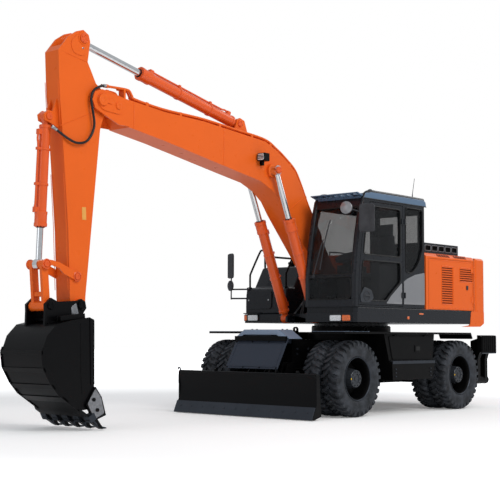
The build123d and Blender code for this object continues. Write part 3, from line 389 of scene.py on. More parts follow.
def ramp(nodes, links, value, stops):
    # a colour from the stops, picked by the value
    r = nodes.new("ShaderNodeValToRGB")
    while len(r.color_ramp.elements) < len(stops):
        r.color_ramp.elements.new(0.5)
    for element, (at, colour) in zip(r.color_ramp.elements, stops):
        element.position = at
        element.color = (*colour, 1) if len(colour) == 3 else colour
    links.new(value, r.inputs[0])
    return r.outputs[0]


def span(nodes, links, value, low, high):
    # a value of 0 to 1, stretched from low to high
    r = nodes.new("ShaderNodeMapRange")
    r.inputs["To Min"].default_value = low
    r.inputs["To Max"].default_value = high
    links.new(value, r.inputs["Value"])
    return r.outputs[0]


def bumped(nodes, links, shader, height, strength, distance=0.002):
    # fine relief on the shader from a height value
    b = nodes.new("ShaderNodeBump")
    b.inputs["Strength"].default_value = strength
    b.inputs["Distance"].default_value = distance
    links.new(height, b.inputs["Height"])
    links.new(b.outputs[0], shader.inputs["Normal"])


def paintFinish(name, colour, shade=0.9, rough=(0.28, 0.42), coat=0.3, gloss=0.25, peel=0.12, metallic=0.0,
        grain=900.0, dust=None):
    # sprayed paint: colour drifts over a hand's breadth, fine orange peel, a little clear coat
    material, nodes, links, shader, place = newMaterial(name)
    drift = noise(nodes, links, place, 1.7, 5.0, 0.6)
    dark = tuple(c * shade for c in colour)
    base = ramp(nodes, links, drift, [(0.3, dark), (0.7, colour)])
    if dust:
        mix = nodes.new("ShaderNodeMix")
        mix.data_type = "RGBA"
        settle = noise(nodes, links, place, 6.0, 8.0, 0.7)
        amount = ramp(nodes, links, settle, [(0.48, (0, 0, 0)), (0.75, (dust[3],) * 3)])
        links.new(amount, mix.inputs[0])
        links.new(base, mix.inputs[6])
        mix.inputs[7].default_value = (*dust[:3], 1)
        base = mix.outputs[2]
    links.new(base, shader.inputs["Base Color"])
    links.new(span(nodes, links, noise(nodes, links, place, 9.0, 6.0), *rough), shader.inputs["Roughness"])
    bumped(nodes, links, shader, noise(nodes, links, place, grain, 2.0), peel, 0.0006)
    shader.inputs["Metallic"].default_value = metallic
    shader.inputs["Specular IOR Level"].default_value = gloss
    shader.inputs["Coat Weight"].default_value = coat
    shader.inputs["Coat Roughness"].default_value = 0.12
    return material


def rubberFinish(name, colour, worn, rough=(0.5, 0.75)):
    # moulded rubber: grey bloom in patches over black, fine pebbled surface
    material, nodes, links, shader, place = newMaterial(name)
    bloom = noise(nodes, links, place, 7.0, 7.0, 0.65)
    links.new(ramp(nodes, links, bloom, [(0.35, colour), (0.68, worn)]), shader.inputs["Base Color"])
    links.new(span(nodes, links, noise(nodes, links, place, 22.0, 4.0), *rough), shader.inputs["Roughness"])
    bumped(nodes, links, shader, noise(nodes, links, place, 420.0, 3.0), 0.25, 0.001)
    shader.inputs["Specular IOR Level"].default_value = 0.2
    return material


def metalFinish(name, colour, rough=(0.18, 0.32), wear=0.85):
    # bare metal with a faint cloudy tone
    material, nodes, links, shader, place = newMaterial(name)
    cloud = noise(nodes, links, place, 30.0, 5.0)
    tone = ramp(nodes, links, cloud, [(0.3, tuple(c * wear for c in colour)), (0.7, colour)])
    links.new(tone, shader.inputs["Base Color"])
    links.new(span(nodes, links, noise(nodes, links, place, 60.0, 3.0), *rough), shader.inputs["Roughness"])
    shader.inputs["Metallic"].default_value = 1.0
    return material


def glassFinish(name, tint, alpha, rough):
    # window glass as a dark tinted sheet that lets the cab show through it
    material, nodes, links, shader, place = newMaterial(name)
    smear = noise(nodes, links, place, 3.0, 4.0)
    tone = ramp(nodes, links, smear, [(0.3, tuple(c * 0.8 for c in tint)), (0.7, tint)])
    links.new(tone, shader.inputs["Base Color"])
    links.new(span(nodes, links, smear, alpha - 0.04, alpha + 0.04), shader.inputs["Alpha"])
    shader.inputs["Roughness"].default_value = rough
    shader.inputs["Specular IOR Level"].default_value = 0.25
    shader.inputs["Coat Weight"].default_value = 0.12
    shader.inputs["Coat Roughness"].default_value = 0.02
    return material


def lampFinish(name, colour, glow):
    # moulded lens: small prism cells under a clear face
    material, nodes, links, shader, place = newMaterial(name)
    cell = nodes.new("ShaderNodeTexVoronoi")
    cell.inputs["Scale"].default_value = 60.0
    links.new(place, cell.inputs["Vector"])
    tone = ramp(nodes, links, cell.outputs["Distance"], [(0.0, colour), (0.8, tuple(c * 0.55 for c in colour))])
    links.new(tone, shader.inputs["Base Color"])
    bumped(nodes, links, shader, cell.outputs["Distance"], 0.4, 0.002)
    shader.inputs["Roughness"].default_value = 0.15
    shader.inputs["Coat Weight"].default_value = 0.8
    shader.inputs["Emission Color"].default_value = (*colour, 1)
    shader.inputs["Emission Strength"].default_value = glow
    return material


# the finishes of this machine's paints, metals, rubbers and lenses
finish = {
    "orange": paintFinish("orangePaint", (0.8, 0.128, 0.014), 0.95, (0.24, 0.34), 0.12, 0.12),
    # the mesh paint is the orange darkened: painted shade for the grilles and vents
    "shadedMeshOrange": paintFinish("shadedMeshOrange", (0.22, 0.04, 0.012), 0.8, (0.5, 0.6), 0.0, 0.1),
    "redOrange": paintFinish("cylinderPaint", (0.78, 0.105, 0.014), 0.9, (0.2, 0.3), 0.3, 0.3),
    "black": paintFinish("chassisPaint", (0.0026, 0.0026, 0.0029), 0.8, (0.3, 0.48), 0.0, 0.08,
        dust=(0.009, 0.009, 0.0085, 0.3)),
    "bucketBlack": paintFinish("bucketPaint", (0.0028, 0.0028, 0.0034), 0.8, (0.24, 0.38), 0.02, 0.1,
        peel=0.2, grain=500.0),
    "cabGrey": paintFinish("cabPaint", (0.0105, 0.0122, 0.016), 0.85, (0.22, 0.34), 0.12, 0.2),
    # the roof's pale blue is the sky's reflection on its top, painted as colour
    "roofSkyReflectionGrey": paintFinish("roofSkyReflectionPaint", (0.088, 0.15, 0.24), 0.92, (0.3, 0.42), 0.3),
    "coverGrey": paintFinish("coverPaint", (0.03, 0.038, 0.056), 0.92, (0.38, 0.5), 0.05, 0.15),
    # pale blue-grey: painted sky highlight for the hump's top and the mudguard strips
    "skyHighlightGrey": paintFinish("skyHighlightPaint", (0.18, 0.237, 0.33), 0.9, (0.35, 0.5), 0.1, 0.3),
    "silver": paintFinish("silverPaint", (0.27, 0.274, 0.288), 0.9, (0.26, 0.36), 0.3, metallic=0.5),
    "blankLabel": paintFinish("blankLabel", (0.75, 0.36, 0.08), 0.95, (0.4, 0.5), 0.1),
    "iron": paintFinish("edgeSteel", (0.05, 0.058, 0.072), 0.7, (0.3, 0.5), 0.0, peel=0.3,
        metallic=0.7, grain=300.0),
    "worn": metalFinish("wornSteel", (0.34, 0.35, 0.37), (0.28, 0.5), wear=0.6),
    "rubber": rubberFinish("tyreRubber", (0.014, 0.0155, 0.018), (0.052, 0.058, 0.07)),
    "hub": paintFinish("hubPaint", (0.04, 0.045, 0.054), 0.7, (0.3, 0.45), 0.1, 0.3, metallic=0.3),
    "hose": rubberFinish("hoseRubber", (0.01, 0.01, 0.011), (0.024, 0.024, 0.026), (0.35, 0.5)),
    "seal": rubberFinish("sealRubber", (0.008, 0.008, 0.008), (0.015, 0.015, 0.015), (0.4, 0.55)),
    "plastic": rubberFinish("cabPlastic", (0.028, 0.03, 0.034), (0.05, 0.052, 0.058), (0.45, 0.65)),
    "cloth": rubberFinish("seatCloth", (0.045, 0.048, 0.055), (0.085, 0.09, 0.1), (0.75, 0.9)),
    "dark": rubberFinish("engineDark", (0.006, 0.006, 0.006), (0.012, 0.012, 0.012), (0.6, 0.8)),
    "chrome": metalFinish("rodChrome", (0.78, 0.79, 0.8), (0.06, 0.14)),
    "steel": metalFinish("zincSteel", (0.42, 0.43, 0.44), (0.25, 0.4)),
    "glass": glassFinish("cabGlass", (0.01, 0.011, 0.012), 0.4, 0.02),
    "mirror": metalFinish("mirrorGlass", (0.8, 0.82, 0.84), (0.02, 0.05), wear=0.97),
    "whiteLens": lampFinish("whiteLens", (0.8, 0.83, 0.86), 0.1),
    "orangeLens": lampFinish("orangeLens", (0.85, 0.16, 0.02), 0.12),
    "yellow": paintFinish("yellowSpot", (0.7, 0.42, 0.02), 0.9, (0.4, 0.5), 0.1),
}
print("finishes made")


tyreSizes = {"radius": 0.52, "carcass": 0.492, "half": 0.139, "bead": 0.283, "lugs": 32, "pitch": 0.32}
twinY, axleZ = 0.966, 0.52
axleX = {"front": 1.5, "rear": -1.1}


def tyreCarcass(x, y, s):
    # profile of the casing from bead to bead, spun about the axle
    w, c, b = s["half"], s["carcass"], s["bead"]
    flank = [(0, 0.044), (0.016, 0.04), (0.022, 0.026), (0.05, 0.012), (0.09, 0.003), (0.12, 0), (0.15, 0.004)]
    shoulder = [(-0.03, 0.014), (-0.012, 0.026), (-0.004, 0.045), (0, 0.08), (0.002, w)]
    wall = [(b + r, a - w) for r, a in flank] + [(c + r, a - w) for r, a in shoulder]
    profile = wall + [(r, -a) for r, a in wall[-2::-1]]
    inner = [(b, w - 0.044), (b - 0.004, 0.0), (b, -w + 0.044)]
    return lathe(profile + inner, (x, y, s["radius"]), sides=120)


def tyreLugs(x, y, s):
    # each lug is a bent bar from near the middle to the shoulder: its centre line leans round the tyre
    # as it runs outwards, point(i, j, k) = angle(i) + lean(v j) + half width, radius from casing to crown
    count, half = s["lugs"], s["half"]
    v = np.array([0.04, 0.3, 0.55, 0.8, 1.0])
    lean = np.array([0.0, 0.045, 0.105, 0.11, 0.125])
    wide = np.array([0.04, 0.046, 0.049, 0.05, 0.054])
    shapes = []
    for side in (-1, 1):
        start = np.arange(count) * 2 * math.pi / count + (math.pi / count if side > 0 else 0)
        yy = side * v * (half - 0.004)
        top = s["radius"] - np.array([0, 0, 0.001, 0.006, 0.024])
        low = s["carcass"] - np.array([0.004, 0.004, 0.005, 0.014, 0.055])
        grid = np.empty((count, len(v), 4, 3))
        for k, (radius, sign) in enumerate(((low, -1.1), (top, -0.82), (top, 0.82), (low, 1.1))):
            angle = start[:, None] + (lean + sign * wide)[None]
            grid[:, :, k, 0] = x + radius * np.sin(angle)
            grid[:, :, k, 1] = y + yy
            grid[:, :, k, 2] = s["radius"] + radius * np.cos(angle)
        cells = gridFaces(len(v), 4, closeColumns=True)
        ends = np.array([[3, 2, 1, 0], [16, 17, 18, 19]])
        step = (np.arange(count) * len(v) * 4)[:, None, None]
        quads = [(cells[None] + step).reshape(-1, 4), (ends[None] + step).reshape(-1, 4)]
        shapes.append((grid.reshape(-1, 3), quads))
    return merged(*shapes)


rimSizes = {"radius": 0.283, "flange": 0.014, "hubEnd": 0.25, "studs": 10, "studCircle": 0.094, "stud": 0.01}


def rimShape(x, y, s, side):
    # twin rim seen from outside: rolled edge, deep well, sloping disc, raised hub with its cap
    r, f = s["radius"], s["flange"]
    out = tyreSizes["pitch"] / 2 + tyreSizes["half"] - 0.044
    outerEdge = [(r - 0.018, out - 0.08), (r - 0.012, out - 0.02), (r - 0.004, out), (r + 0.004, out + 0.01),
                 (r + f, out + 0.012), (r + f + 0.002, out + 0.006), (r + f - 0.004, out - 0.001),
                 (r + 0.001, out - 0.004), (r, out - 0.04)]
    innerEdge = [(r, -out + 0.04), (r + 0.001, -out + 0.004), (r + f, -out), (r + f, -out - 0.012),
                 (r - 0.012, -out - 0.01), (r - 0.018, -out + 0.03)]
    disc = [(r - 0.02, -0.02), (0.17, -0.02), (0.17, 0.012), (r - 0.06, 0.03), (r - 0.024, 0.04),
            (r - 0.018, 0.06)]
    profile = [(a, side * b) for a, b in outerEdge + innerEdge + disc + outerEdge[:1]]
    return lathe(profile, (x, y, axleZ), sides=72)


def hubShape(x, y, side, end):
    # flange, planetary housing drawn out to the end plane and its cap
    flange = [(0.172, 0.01), (0.168, 0.034), (0.15, 0.04)]
    housing = [(0.147, 0.1), (0.139, 0.11), (0.128, end - 0.05), (0.123, end - 0.04), (0.12, end - 0.01)]
    cap = [(0.112, end - 0.002), (0.066, end), (0.062, end - 0.01), (0.034, end - 0.011), (0.03, end - 0.003),
           (0.0, end - 0.002)]
    return lathe([(a, side * b) for a, b in flange + housing + cap], (x, y, axleZ), sides=48)


for end, x in axleX.items():
    for sideName, side in (("Left", 1), ("Right", -1)):
        body = f"wheel_{end}_{sideName.lower()}"
        shapes = []
        for row in (-1, 1):
            y = side * twinY + row * tyreSizes["pitch"] / 2
            shapes += [tyreCarcass(x, y, tyreSizes), tyreLugs(x, y, tyreSizes)]
        tyres = addPiece(f"tyres{end.title()}{sideName}", merged(*shapes), body, "rubber", smooth=32)
        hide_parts(f"tyres_{end}_{sideName.lower()}")
        t = np.arange(rimSizes["studs"]) * 2 * math.pi / rimSizes["studs"]
        circle, studY = rimSizes["studCircle"], side * (twinY + rimSizes["hubEnd"] - 0.002)
        studPlaces = np.stack([x + circle * np.cos(t), np.full_like(t, studY), axleZ + circle * np.sin(t)], -1)
        studs = boltHeads(studPlaces, (0, side, 0), rimSizes["stud"], 0.012)
        hubParts = merged(hubShape(x, side * twinY, side, rimSizes["hubEnd"]), studs)
        hub = addPiece(f"hub{end.title()}{sideName}", hubParts, body, "hub", smooth=30)
        rimPart = rimShape(x, side * twinY, rimSizes, side)
        rim = addPiece(f"rim{end.title()}{sideName}", rimPart, body, "black", smooth=30)
        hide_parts(f"rim_{end}_{sideName.lower()}")
        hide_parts(f"rim_{end}_{sideName.lower()}")
print("wheels made")

# node, finish, width of the softened edges
for node, paint, soft in (
    ("boom", "orange", 0.008), ("arm", "orange", 0.007), ("counterweight", "orange", 0.045),
    ("hood_frame", "orange", 0.006),
    ("engine_hood", "orange", 0.008), ("side_door_left", "orange", 0.008), ("side_door_right", "orange", 0.008),
    ("bucket", "bucketBlack", 0.006), ("guide_levers", "orange", 0.005), ("bucket_link", "orange", 0.005),
    ("blade", "bucketBlack", 0.006), ("chassis_frame", "black", 0.006), ("fender_steps", "black", 0.008),
    ("front_cover", "coverGrey", 0.008),
    ("outrigger_left", "black", 0.006), ("outrigger_right", "black", 0.006),
    ("outrigger_frame", "black", 0.006),
    ("front_axle", "black", 0.006), ("rear_axle", "black", 0.006), ("drive_line", "black", 0.006),
    ("knuckle_left", "black", 0.004), ("knuckle_right", "black", 0.004), ("platform", "cabGrey", 0.022),
    ("cab_shell", "cabGrey", 0.014),
    # the roof gets the pale blue paint: a painted sky reflection
    ("cab_door", "cabGrey", 0.008), ("cab_roof", "roofSkyReflectionGrey", 0.012), ("fuel_tank", "cabGrey", 0.03),
    ("intake_box", "cabGrey", 0.006),
    ("cab_controls", "plastic", 0.012), ("boom_lamp", "black", 0.006),
):
    dressed(node, finish[paint], soft)
for node, paint in (
    ("boom_barrels", "redOrange"), ("arm_barrel", "redOrange"), ("bucket_barrel", "redOrange"),
    ("boom_rods", "chrome"), ("arm_rod", "chrome"),
    ("bucket_rod", "chrome"), ("blade_barrels", "black"), ("blade_rods", "chrome"),
    ("outrigger_barrel_left", "black"), ("outrigger_barrel_right", "black"),
    ("outrigger_rod_left", "chrome"), ("outrigger_rod_right", "chrome"), ("engine", "dark"),
    ("cab_glass", "glass"), ("door_glass", "glass"),
    ("mirror_right", "plastic"), ("mirror_left", "plastic"), ("handrail", "black"), ("front_lamps", "plastic"),
):
    carried(node, finish[paint])
print("frame dressed")


boomSizes = {"side": 0.18, "armSide": 0.125, "pipe": 0.016, "pipeY": (0.152, 0.104, -0.104, -0.152),
    "clampY": 0.119, "lift": 0.036}
boomTop = [(4.6, 3.968), (4.15, 3.92), (3.44, 3.9), (2.79, 3.845), (2.21, 3.79), (1.96, 3.69), (1.76, 3.58),
    (1.56, 3.44), (1.42, 3.24), (1.26, 2.96), (0.98, 2.56)]


def boomPipes(s):
    # steel pipes from the tip, down to the boom's top and along it, each with a nut at its tip end
    line = raised(boomTop, s["lift"])
    tip = [(5.095, 4.098), (4.95, 4.104), (4.8, 4.108), (4.735, 4.095), (4.69, 4.04), (4.64, 4.008)]
    # the inner pair stops short of the arm, which swings between the outer pair
    pipes, nuts = [], []
    for y in s["pipeY"]:
        ends = tip if abs(y) > s["armSide"] else [(4.86, 4.106)] + tip[2:]
        pipes.append(pipe(atSide(ends + [tuple(p) for p in line[1:]], y), s["pipe"], 7, 10))
        place = (ends[0][0] - 0.01, y, ends[0][1])
        nuts.append(lathe([(0, 0), (0.023, 0), (0.023, 0.045), (0.018, 0.05), (0, 0.05)], place, (1, 0, 0), 6))
    return merged(*pipes, *nuts)


def boomClamps(s):
    # a block with its bolt over each pipe pair, square to the boom's top, and a stand at the tip
    clamps, bolts = [], []
    line = raised(boomTop, s["lift"] * 0.5)
    for k, share in ((0, 0.35), (1, 0.42), (2, 0.5), (3, 0.55), (4, 0.5), (6, 0.5), (8, 0.6), (9, 0.6)):
        x, z = line[k] + (line[k + 1] - line[k]) * share
        run, drop = line[k] - line[k + 1]
        turn = math.atan2(-drop, run)
        for y in (-s["clampY"], s["clampY"]):
            clamps.append(boxAt((x, y, z + 0.006), (0.04, 0.096, 0.052), math.degrees(turn)))
            bolts.append((x + 0.03 * math.sin(turn), y, z + 0.031))
    stand = [boxAt((4.823, y, 4.045), (0.03, 0.1, 0.125)) for y in (-s["clampY"], s["clampY"])]
    return merged(*clamps, *stand, boltHeads(bolts, (0, 0, 1), 0.009, 0.008))


def boomWelds(s):
    # straight beads across the boom's sides, over the seams between its plates
    lines = (((4.68, 3.632), (4.68, 3.968)), ((3.052, 3.362), (3.052, 3.86)),
             ((1.34, 3.095), (1.76, 2.838)), ((1.02, 2.58), (1.2, 2.22)))
    return bothSides(merged(*[weldBead(atSide(line, s["side"] + 0.0005)) for line in lines]))


def boomTipPlates(s):
    # long rounded pads outside the fork, with the pin's cap and a locking plate
    y, face = s["side"], s["side"] + 0.012
    pad = rounded([(4.9, 3.772), (5.2, 3.792), (5.3, 3.9), (5.215, 4.012), (4.9, 3.982), (4.835, 3.88)], 0.09)
    lockingPlate = boxAt((5.105, y + 0.018, 3.905), (0.11, 0.014, 0.045), -5)
    caps = [pinCap(5.2, face, 3.91, 1, 0.072, 0.026), pinCap(4.945, face, 3.876, 1, 0.045, 0.014)]
    return bothSides(merged(prism(pad, y, face), *caps, lockingPlate))


addPiece("boomPipes", boomPipes(boomSizes), "boom", "orange", smooth=50)
addPiece("boomClamps", boomClamps(boomSizes), "boom", "orange", bevel=0.003)
addPiece("boomWelds", boomWelds(boomSizes), "boom", "orange")
addPiece("boomTipPlates", boomTipPlates(boomSizes), "boom", "orange", bevel=0.004)

# pins: body, x, z, distance of the face from the middle, cap radius, how far it stands out
pinTable = (
    ("boom", 2.09, 3.39, 0.318, 0.05, 0.022), ("boom", 2.62, 3.995, 0.0755, 0.046, 0.016),
    ("arm", 5.46, 4.62, 0.139, 0.06, 0.018),
    ("arm", 5.904, 3.629, 0.0685, 0.044, 0.016), ("guide_levers", 5.514, 1.777, 0.149, 0.038, 0.014),
    ("guide_levers", 5.968, 1.905, 0.149, 0.036, 0.014), ("upper", 1.22, 1.35, 0.348, 0.05, 0.018),
    ("bucket", 5.48, 1.44, 0.195, 0.052, 0.018), ("bucket", 5.925, 1.426, 0.187, 0.048, 0.016),
    ("blade", 2.285, 0.36, 0.2, 0.028, 0.008), ("blade", 1.93, 0.43, 0.305, 0.036, 0.01),
)
pinPieces = {"boom": "boomPinCaps", "arm": "armPinCaps", "guide_levers": "leverPinCaps",
    "upper": "footPinCaps", "bucket": "bucketPinCaps", "blade": "bladePinCaps"}
for body, name in pinPieces.items():
    caps = [pinCap(x, side * y, z, side, r, out, 4 if r > 0.045 else 0)
        for owner, x, z, y, r, out in pinTable if owner == body for side in (-1, 1)]
    look = "bucketBlack" if body in ("bucket", "upper", "blade") else "redOrange"
    addPiece(name, merged(*caps), body, look, smooth=35)


cylinderSizes = {
    "boom": {"foot": (1.22, 1.35), "eye": (2.09, 3.39), "y": (0.27, -0.27), "barrel": 1.5, "tube": 0.07,
        "rod": 0.04, "straps": (0.42, 0.66), "body": "boom_barrels"},
    "arm": {"foot": (2.62, 3.995), "eye": (5.46, 4.62), "y": (0.0,), "barrel": 1.86, "tube": 0.075,
        "rod": 0.044, "straps": (0.3, 0.62), "body": "arm_barrel"},
    "bucket": {"foot": (5.904, 3.629), "eye": (5.968, 1.905), "y": (0.0,), "barrel": 1.29, "tube": 0.062,
        "rod": 0.036, "straps": (0.3, 0.62), "body": "bucket_barrel"},
}


def cylinderTrim(s):
    # gland collar with its bolts, wiper ring at the rod, port blocks and a pipe along the tube on straps
    foot, eye = np.array(s["foot"]), np.array(s["eye"])
    way = (eye - foot) / np.linalg.norm(eye - foot)
    square = np.array([-way[1], way[0]])
    slope = -math.degrees(math.atan2(way[1], way[0]))
    r, end, rod = s["tube"], s["barrel"], s["rod"]
    a, b, n = axisFrame((way[0], 0, way[1]))

    def at(run, out=0.0):
        # so far along the tube from its foot, and so far out over it
        x, z = foot + way * run + square * out
        return np.array([x, y, z])

    gland = [(r, -0.18), (r + 0.013, -0.175), (r + 0.013, -0.145), (r + 0.01, -0.14), (r + 0.01, -0.045),
             (r + 0.015, -0.04), (r + 0.015, -0.006), (r + 0.01, 0.0), (rod + 0.012, 0.001),
             (rod + 0.003, 0.001)]
    footBand = [(r, 0.1), (r + 0.007, 0.104), (r + 0.007, 0.135), (r, 0.14)]
    strap = [(r + 0.001, -0.016), (r + 0.008, -0.013), (r + 0.008, 0.013), (r + 0.001, 0.016)]
    wiper = [(rod + 0.01, 0), (rod + 0.009, 0.012), (rod + 0.001, 0.016)]
    low = r + 0.024  # how far the pipe's middle runs from the tube's axis
    pipeLine = [(0.19, r + 0.03), (0.27, low + 0.012), (0.36, low), (end * 0.5, low), (end - 0.3, low),
                (end - 0.225, low + 0.008), (end - 0.19, r + 0.034)]
    shapes, rubber = [], []
    for y in s["y"]:
        t = np.arange(8) * math.pi / 4 + 0.2
        ring = at(end)[None] + (np.cos(t)[:, None] * a + np.sin(t)[:, None] * b) * (r - 0.012)
        shapes += [lathe(gland, at(end), n, 40), lathe(footBand, at(0), n, 40), boltHeads(ring, n, 0.009, 0.008)]
        rubber.append(lathe(wiper, at(end), n, 32))
        shapes += [boxAt(at(run, r + 0.012), (0.062, 0.05, 0.062), slope) for run in (0.19, end - 0.19)]
        shapes.append(pipe([at(*stop) for stop in pipeLine], 0.013, 6, 10))
        for share in s["straps"]:
            shapes.append(lathe(strap, at(end * share), n, 36))
            shapes.append(boxAt(at(end * share, r + 0.02), (0.032, 0.045, 0.045), slope))
    return merged(*shapes), merged(*rubber)


for name, sizes in cylinderSizes.items():
    trim, wiper = cylinderTrim(sizes)
    addPiece(name + "CylinderTrim", trim, sizes["body"], "redOrange", smooth=38)
    addPiece(name + "RodWipers", wiper, sizes["body"], "seal")
print("boom and cylinders made")


# each pad: middle (x, z), length along its slope, width, thickness, slope in degrees,
# stitched channels, and how thick its underside is against its top
seatPads = (
    {"at": (0.55, 1.955), "long": 0.5, "wide": 0.43, "thick": 0.11, "slope": 3.0,
        "channels": (-0.42, 0.0, 0.42), "under": 0.45},
    {"at": (0.235, 2.262), "long": 0.59, "wide": 0.43, "thick": 0.085, "slope": 96.6,
        "channels": (-0.5, -0.1, 0.3), "under": 0.7},
    {"at": (0.1875, 2.65), "long": 0.176, "wide": 0.272, "thick": 0.086, "slope": 93.0, "channels": (),
        "under": 0.8},
)
seatY = 0.7775


def rimIndex(cells):
    # numbers of the points round the edge of a square grid, in order
    index = np.arange(cells * cells).reshape(cells, cells)
    return np.concatenate([index[0, :-1], index[:-1, -1], index[-1, :0:-1], index[:0:-1, 0]])


def padShape(s):
    # crowned pad: half thickness (1 - u^6)^0.4 (1 - v^6)^0.4, less a stitched groove at each channel,
    # its sides pulled in between the corners by 3 percent
    cells = 34
    t = np.sin(np.linspace(-math.pi / 2, math.pi / 2, cells))
    u, v = np.meshgrid(t, t, indexing="ij")
    lift = ((1 - np.abs(u) ** 6) * (1 - np.abs(v) ** 6)) ** 0.4
    crown = 0.84 + 0.16 * (1 - u ** 2) * (1 - v ** 2)
    groove = sum((np.exp(-((u - c) / 0.035) ** 2) * (np.abs(v) < 0.86) for c in s["channels"]), 0.0)
    side = np.exp(-((np.abs(v) - 0.8) / 0.03) ** 2) * 0.6
    high = s["thick"] / 2 * lift * (crown - 0.1 * groove - 0.1 * side)
    x = s["long"] / 2 * u * (1 - 0.03 * (1 - v ** 2))
    y = s["wide"] / 2 * v * (1 - 0.03 * (1 - u ** 2))
    layers = [np.stack([x, y, z], -1).reshape(-1, 3) for z in (high, -high * s["under"])]
    points = np.concatenate(layers)
    faces = gridFaces(cells, cells)
    piping = points[rimIndex(cells)][::2]
    cord = tube(np.concatenate([piping, piping[:2]]), 0.0045, 6, ends=False)
    points, faces = merged((points, [faces, faces[:, ::-1] + cells * cells]), cord)
    lean = math.radians(s["slope"])
    c, d = math.cos(lean), math.sin(lean)
    x, y, z = points.T
    turned = np.stack([x * c + z * d, y, z * c - x * d], -1)
    return turned + np.array([s["at"][0], seatY, s["at"][1]]), faces


seatPiece = addPiece("seatPads", merged(*[padShape(s) for s in seatPads]), "upper", "cloth", smooth=60)
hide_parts("seat")
print("seat made")


armSizes = {"side": 0.125, "bucketSide": 0.37, "strap": 0.01}


def armWelds(s):
    # beads along the arm's side plates, and thinner ones down the front edge
    sides = (((5.778, 3.53), (5.307, 3.745), (5.16, 3.7)), ((5.395, 4.345), (5.72, 4.4)))
    front = (((5.826, 4.06), (5.781, 3.52)), ((5.718, 2.98), (5.665, 2.35), (5.626, 1.62)))
    beads = [weldBead(atSide(line, s["side"] + 0.0005)) for line in sides]
    beads += [weldBead(atSide(line, 0.118), 0.004, 0.016) for line in front]
    return bothSides(merged(*beads))


def armPlates(s):
    # doubler plate on each side of the head, with rounded corners
    head = rounded([(5.43, 4.4), (5.62, 4.42), (5.655, 4.56), (5.53, 4.672), (5.44, 4.672), (5.39, 4.56)], 0.07)
    return bothSides(prism(head, s["side"], s["side"] + 0.008))


def greasePoints(places, way):
    # nipples: hexagon, neck and ball, spun about the direction they point in
    hexagon = [(0.0, -0.002), (0.011, -0.002), (0.011, 0.009)]
    ball = [(0.006, 0.011), (0.006, 0.017), (0.008, 0.02), (0.006, 0.026), (0.0, 0.027)]
    return merged(*[lathe(hexagon + ball, place, way, 10) for place in places])


addPiece("armWelds", armWelds(armSizes), "arm", "orange")
addPiece("armHeadPlates", armPlates(armSizes), "arm", "orange", bevel=0.003)
blankPlate = boxAt((5.408, 0.127, 2.528), (0.062, 0.004, 0.15), 3)
addPiece("armBlankPlate", blankPlate, "arm", "blankLabel", bevel=0.0015)
nipples = greasePoints([(5.3, 0.127, 3.8), (5.47, 0.127, 4.5)], (0, 1, 0))
addPiece("armGreasePoints", nipples, "arm", "steel", smooth=50)


def leverRings():
    # a raised ring round each boss of the levers
    rings = []
    for x, z, r in ((5.514, 1.777, 0.058), (5.968, 1.905, 0.06)):
        low, high = (r - 0.012, -0.004), (r - 0.012, 0.007)
        section = [low, (r, -0.004), (r, 0.004), (r - 0.004, 0.007), high, low]
        rings.append(lathe(section, (x, 0.15, z), sides=36))
    return bothSides(merged(*rings))


addPiece("leverRings", leverRings(), "guide_levers", "redOrange")
linkBridge = boxAt((5.938, 0.0, 1.56), (0.07, 0.14, 0.055), -5)
addPiece("linkBridge", linkBridge, "bucket_link", "orange", bevel=0.008)


bucketBack = [(5.54, 1.294), (5.76, 1.262), (5.985, 1.215), (6.12, 1.085), (6.19, 0.9), (6.165, 0.73),
    (6.06, 0.56), (5.94, 0.43), (5.64, 0.235)]


def bucketWear(s):
    # straps across the wrap, edge straps down each side and lips along the sides' front edges
    half = s["bucketSide"]
    back = np.array(bucketBack)
    straps = []
    for k, share, width in ((4, 0.0, 0.05), (5, 0.15, 0.06), (6, 0.35, 0.075), (7, 0.3, 0.11)):
        a, b = back[k], back[k + 1]
        x, z = a + (b - a) * share
        turn = math.degrees(math.atan2(-(b - a)[1], (b - a)[0]))
        straps.append(boxAt((x, 0, z), (width, 2 * half + 0.02, 0.02), turn))
    # the edge strap follows the wrap's outline, standing 16 mm proud of it
    outer = [(6.18, 0.96), (6.205, 0.895), (6.18, 0.725), (6.072, 0.55), (5.95, 0.418), (5.645, 0.222)]
    inner = [(5.635, 0.3), (5.905, 0.485), (6.015, 0.6), (6.112, 0.745), (6.13, 0.9), (6.12, 0.95)]
    lip = rounded([(5.44, 1.275), (5.505, 1.295), (5.495, 1.0), (5.478, 0.52), (5.425, 0.52)], 0.02)
    edges = [prism(outline, half - 0.004, half + s["strap"]) for outline in (outer + inner, lip)]
    return merged(*straps, bothSides(merged(*edges)))


def bucketRibs():
    # short stiffeners under the ears and a thick plate between them
    ribs = [boxAt((5.7, y, 1.3), (0.36, 0.016, 0.055), 6) for y in (-0.3, -0.24, 0.24, 0.3)]
    return merged(*ribs, boxAt((5.72, 0.0, 1.292), (0.34, 0.3, 0.03), 8))


def cutterFaces(s):
    # shiny worn faces on the side cutters, each with two bolts
    y = s["bucketSide"] + 0.03
    face = rounded([(5.545, 0.312), (5.43, 0.48), (5.345, 0.378), (5.292, 0.195), (5.44, 0.128)], 0.02)
    heads = boltHeads([(5.455, y + 0.004, 0.355), (5.4, y + 0.004, 0.235)], (0, 1, 0), 0.024, 0.016)
    return bothSides(prism(face, y, y + 0.004)), bothSides(heads)


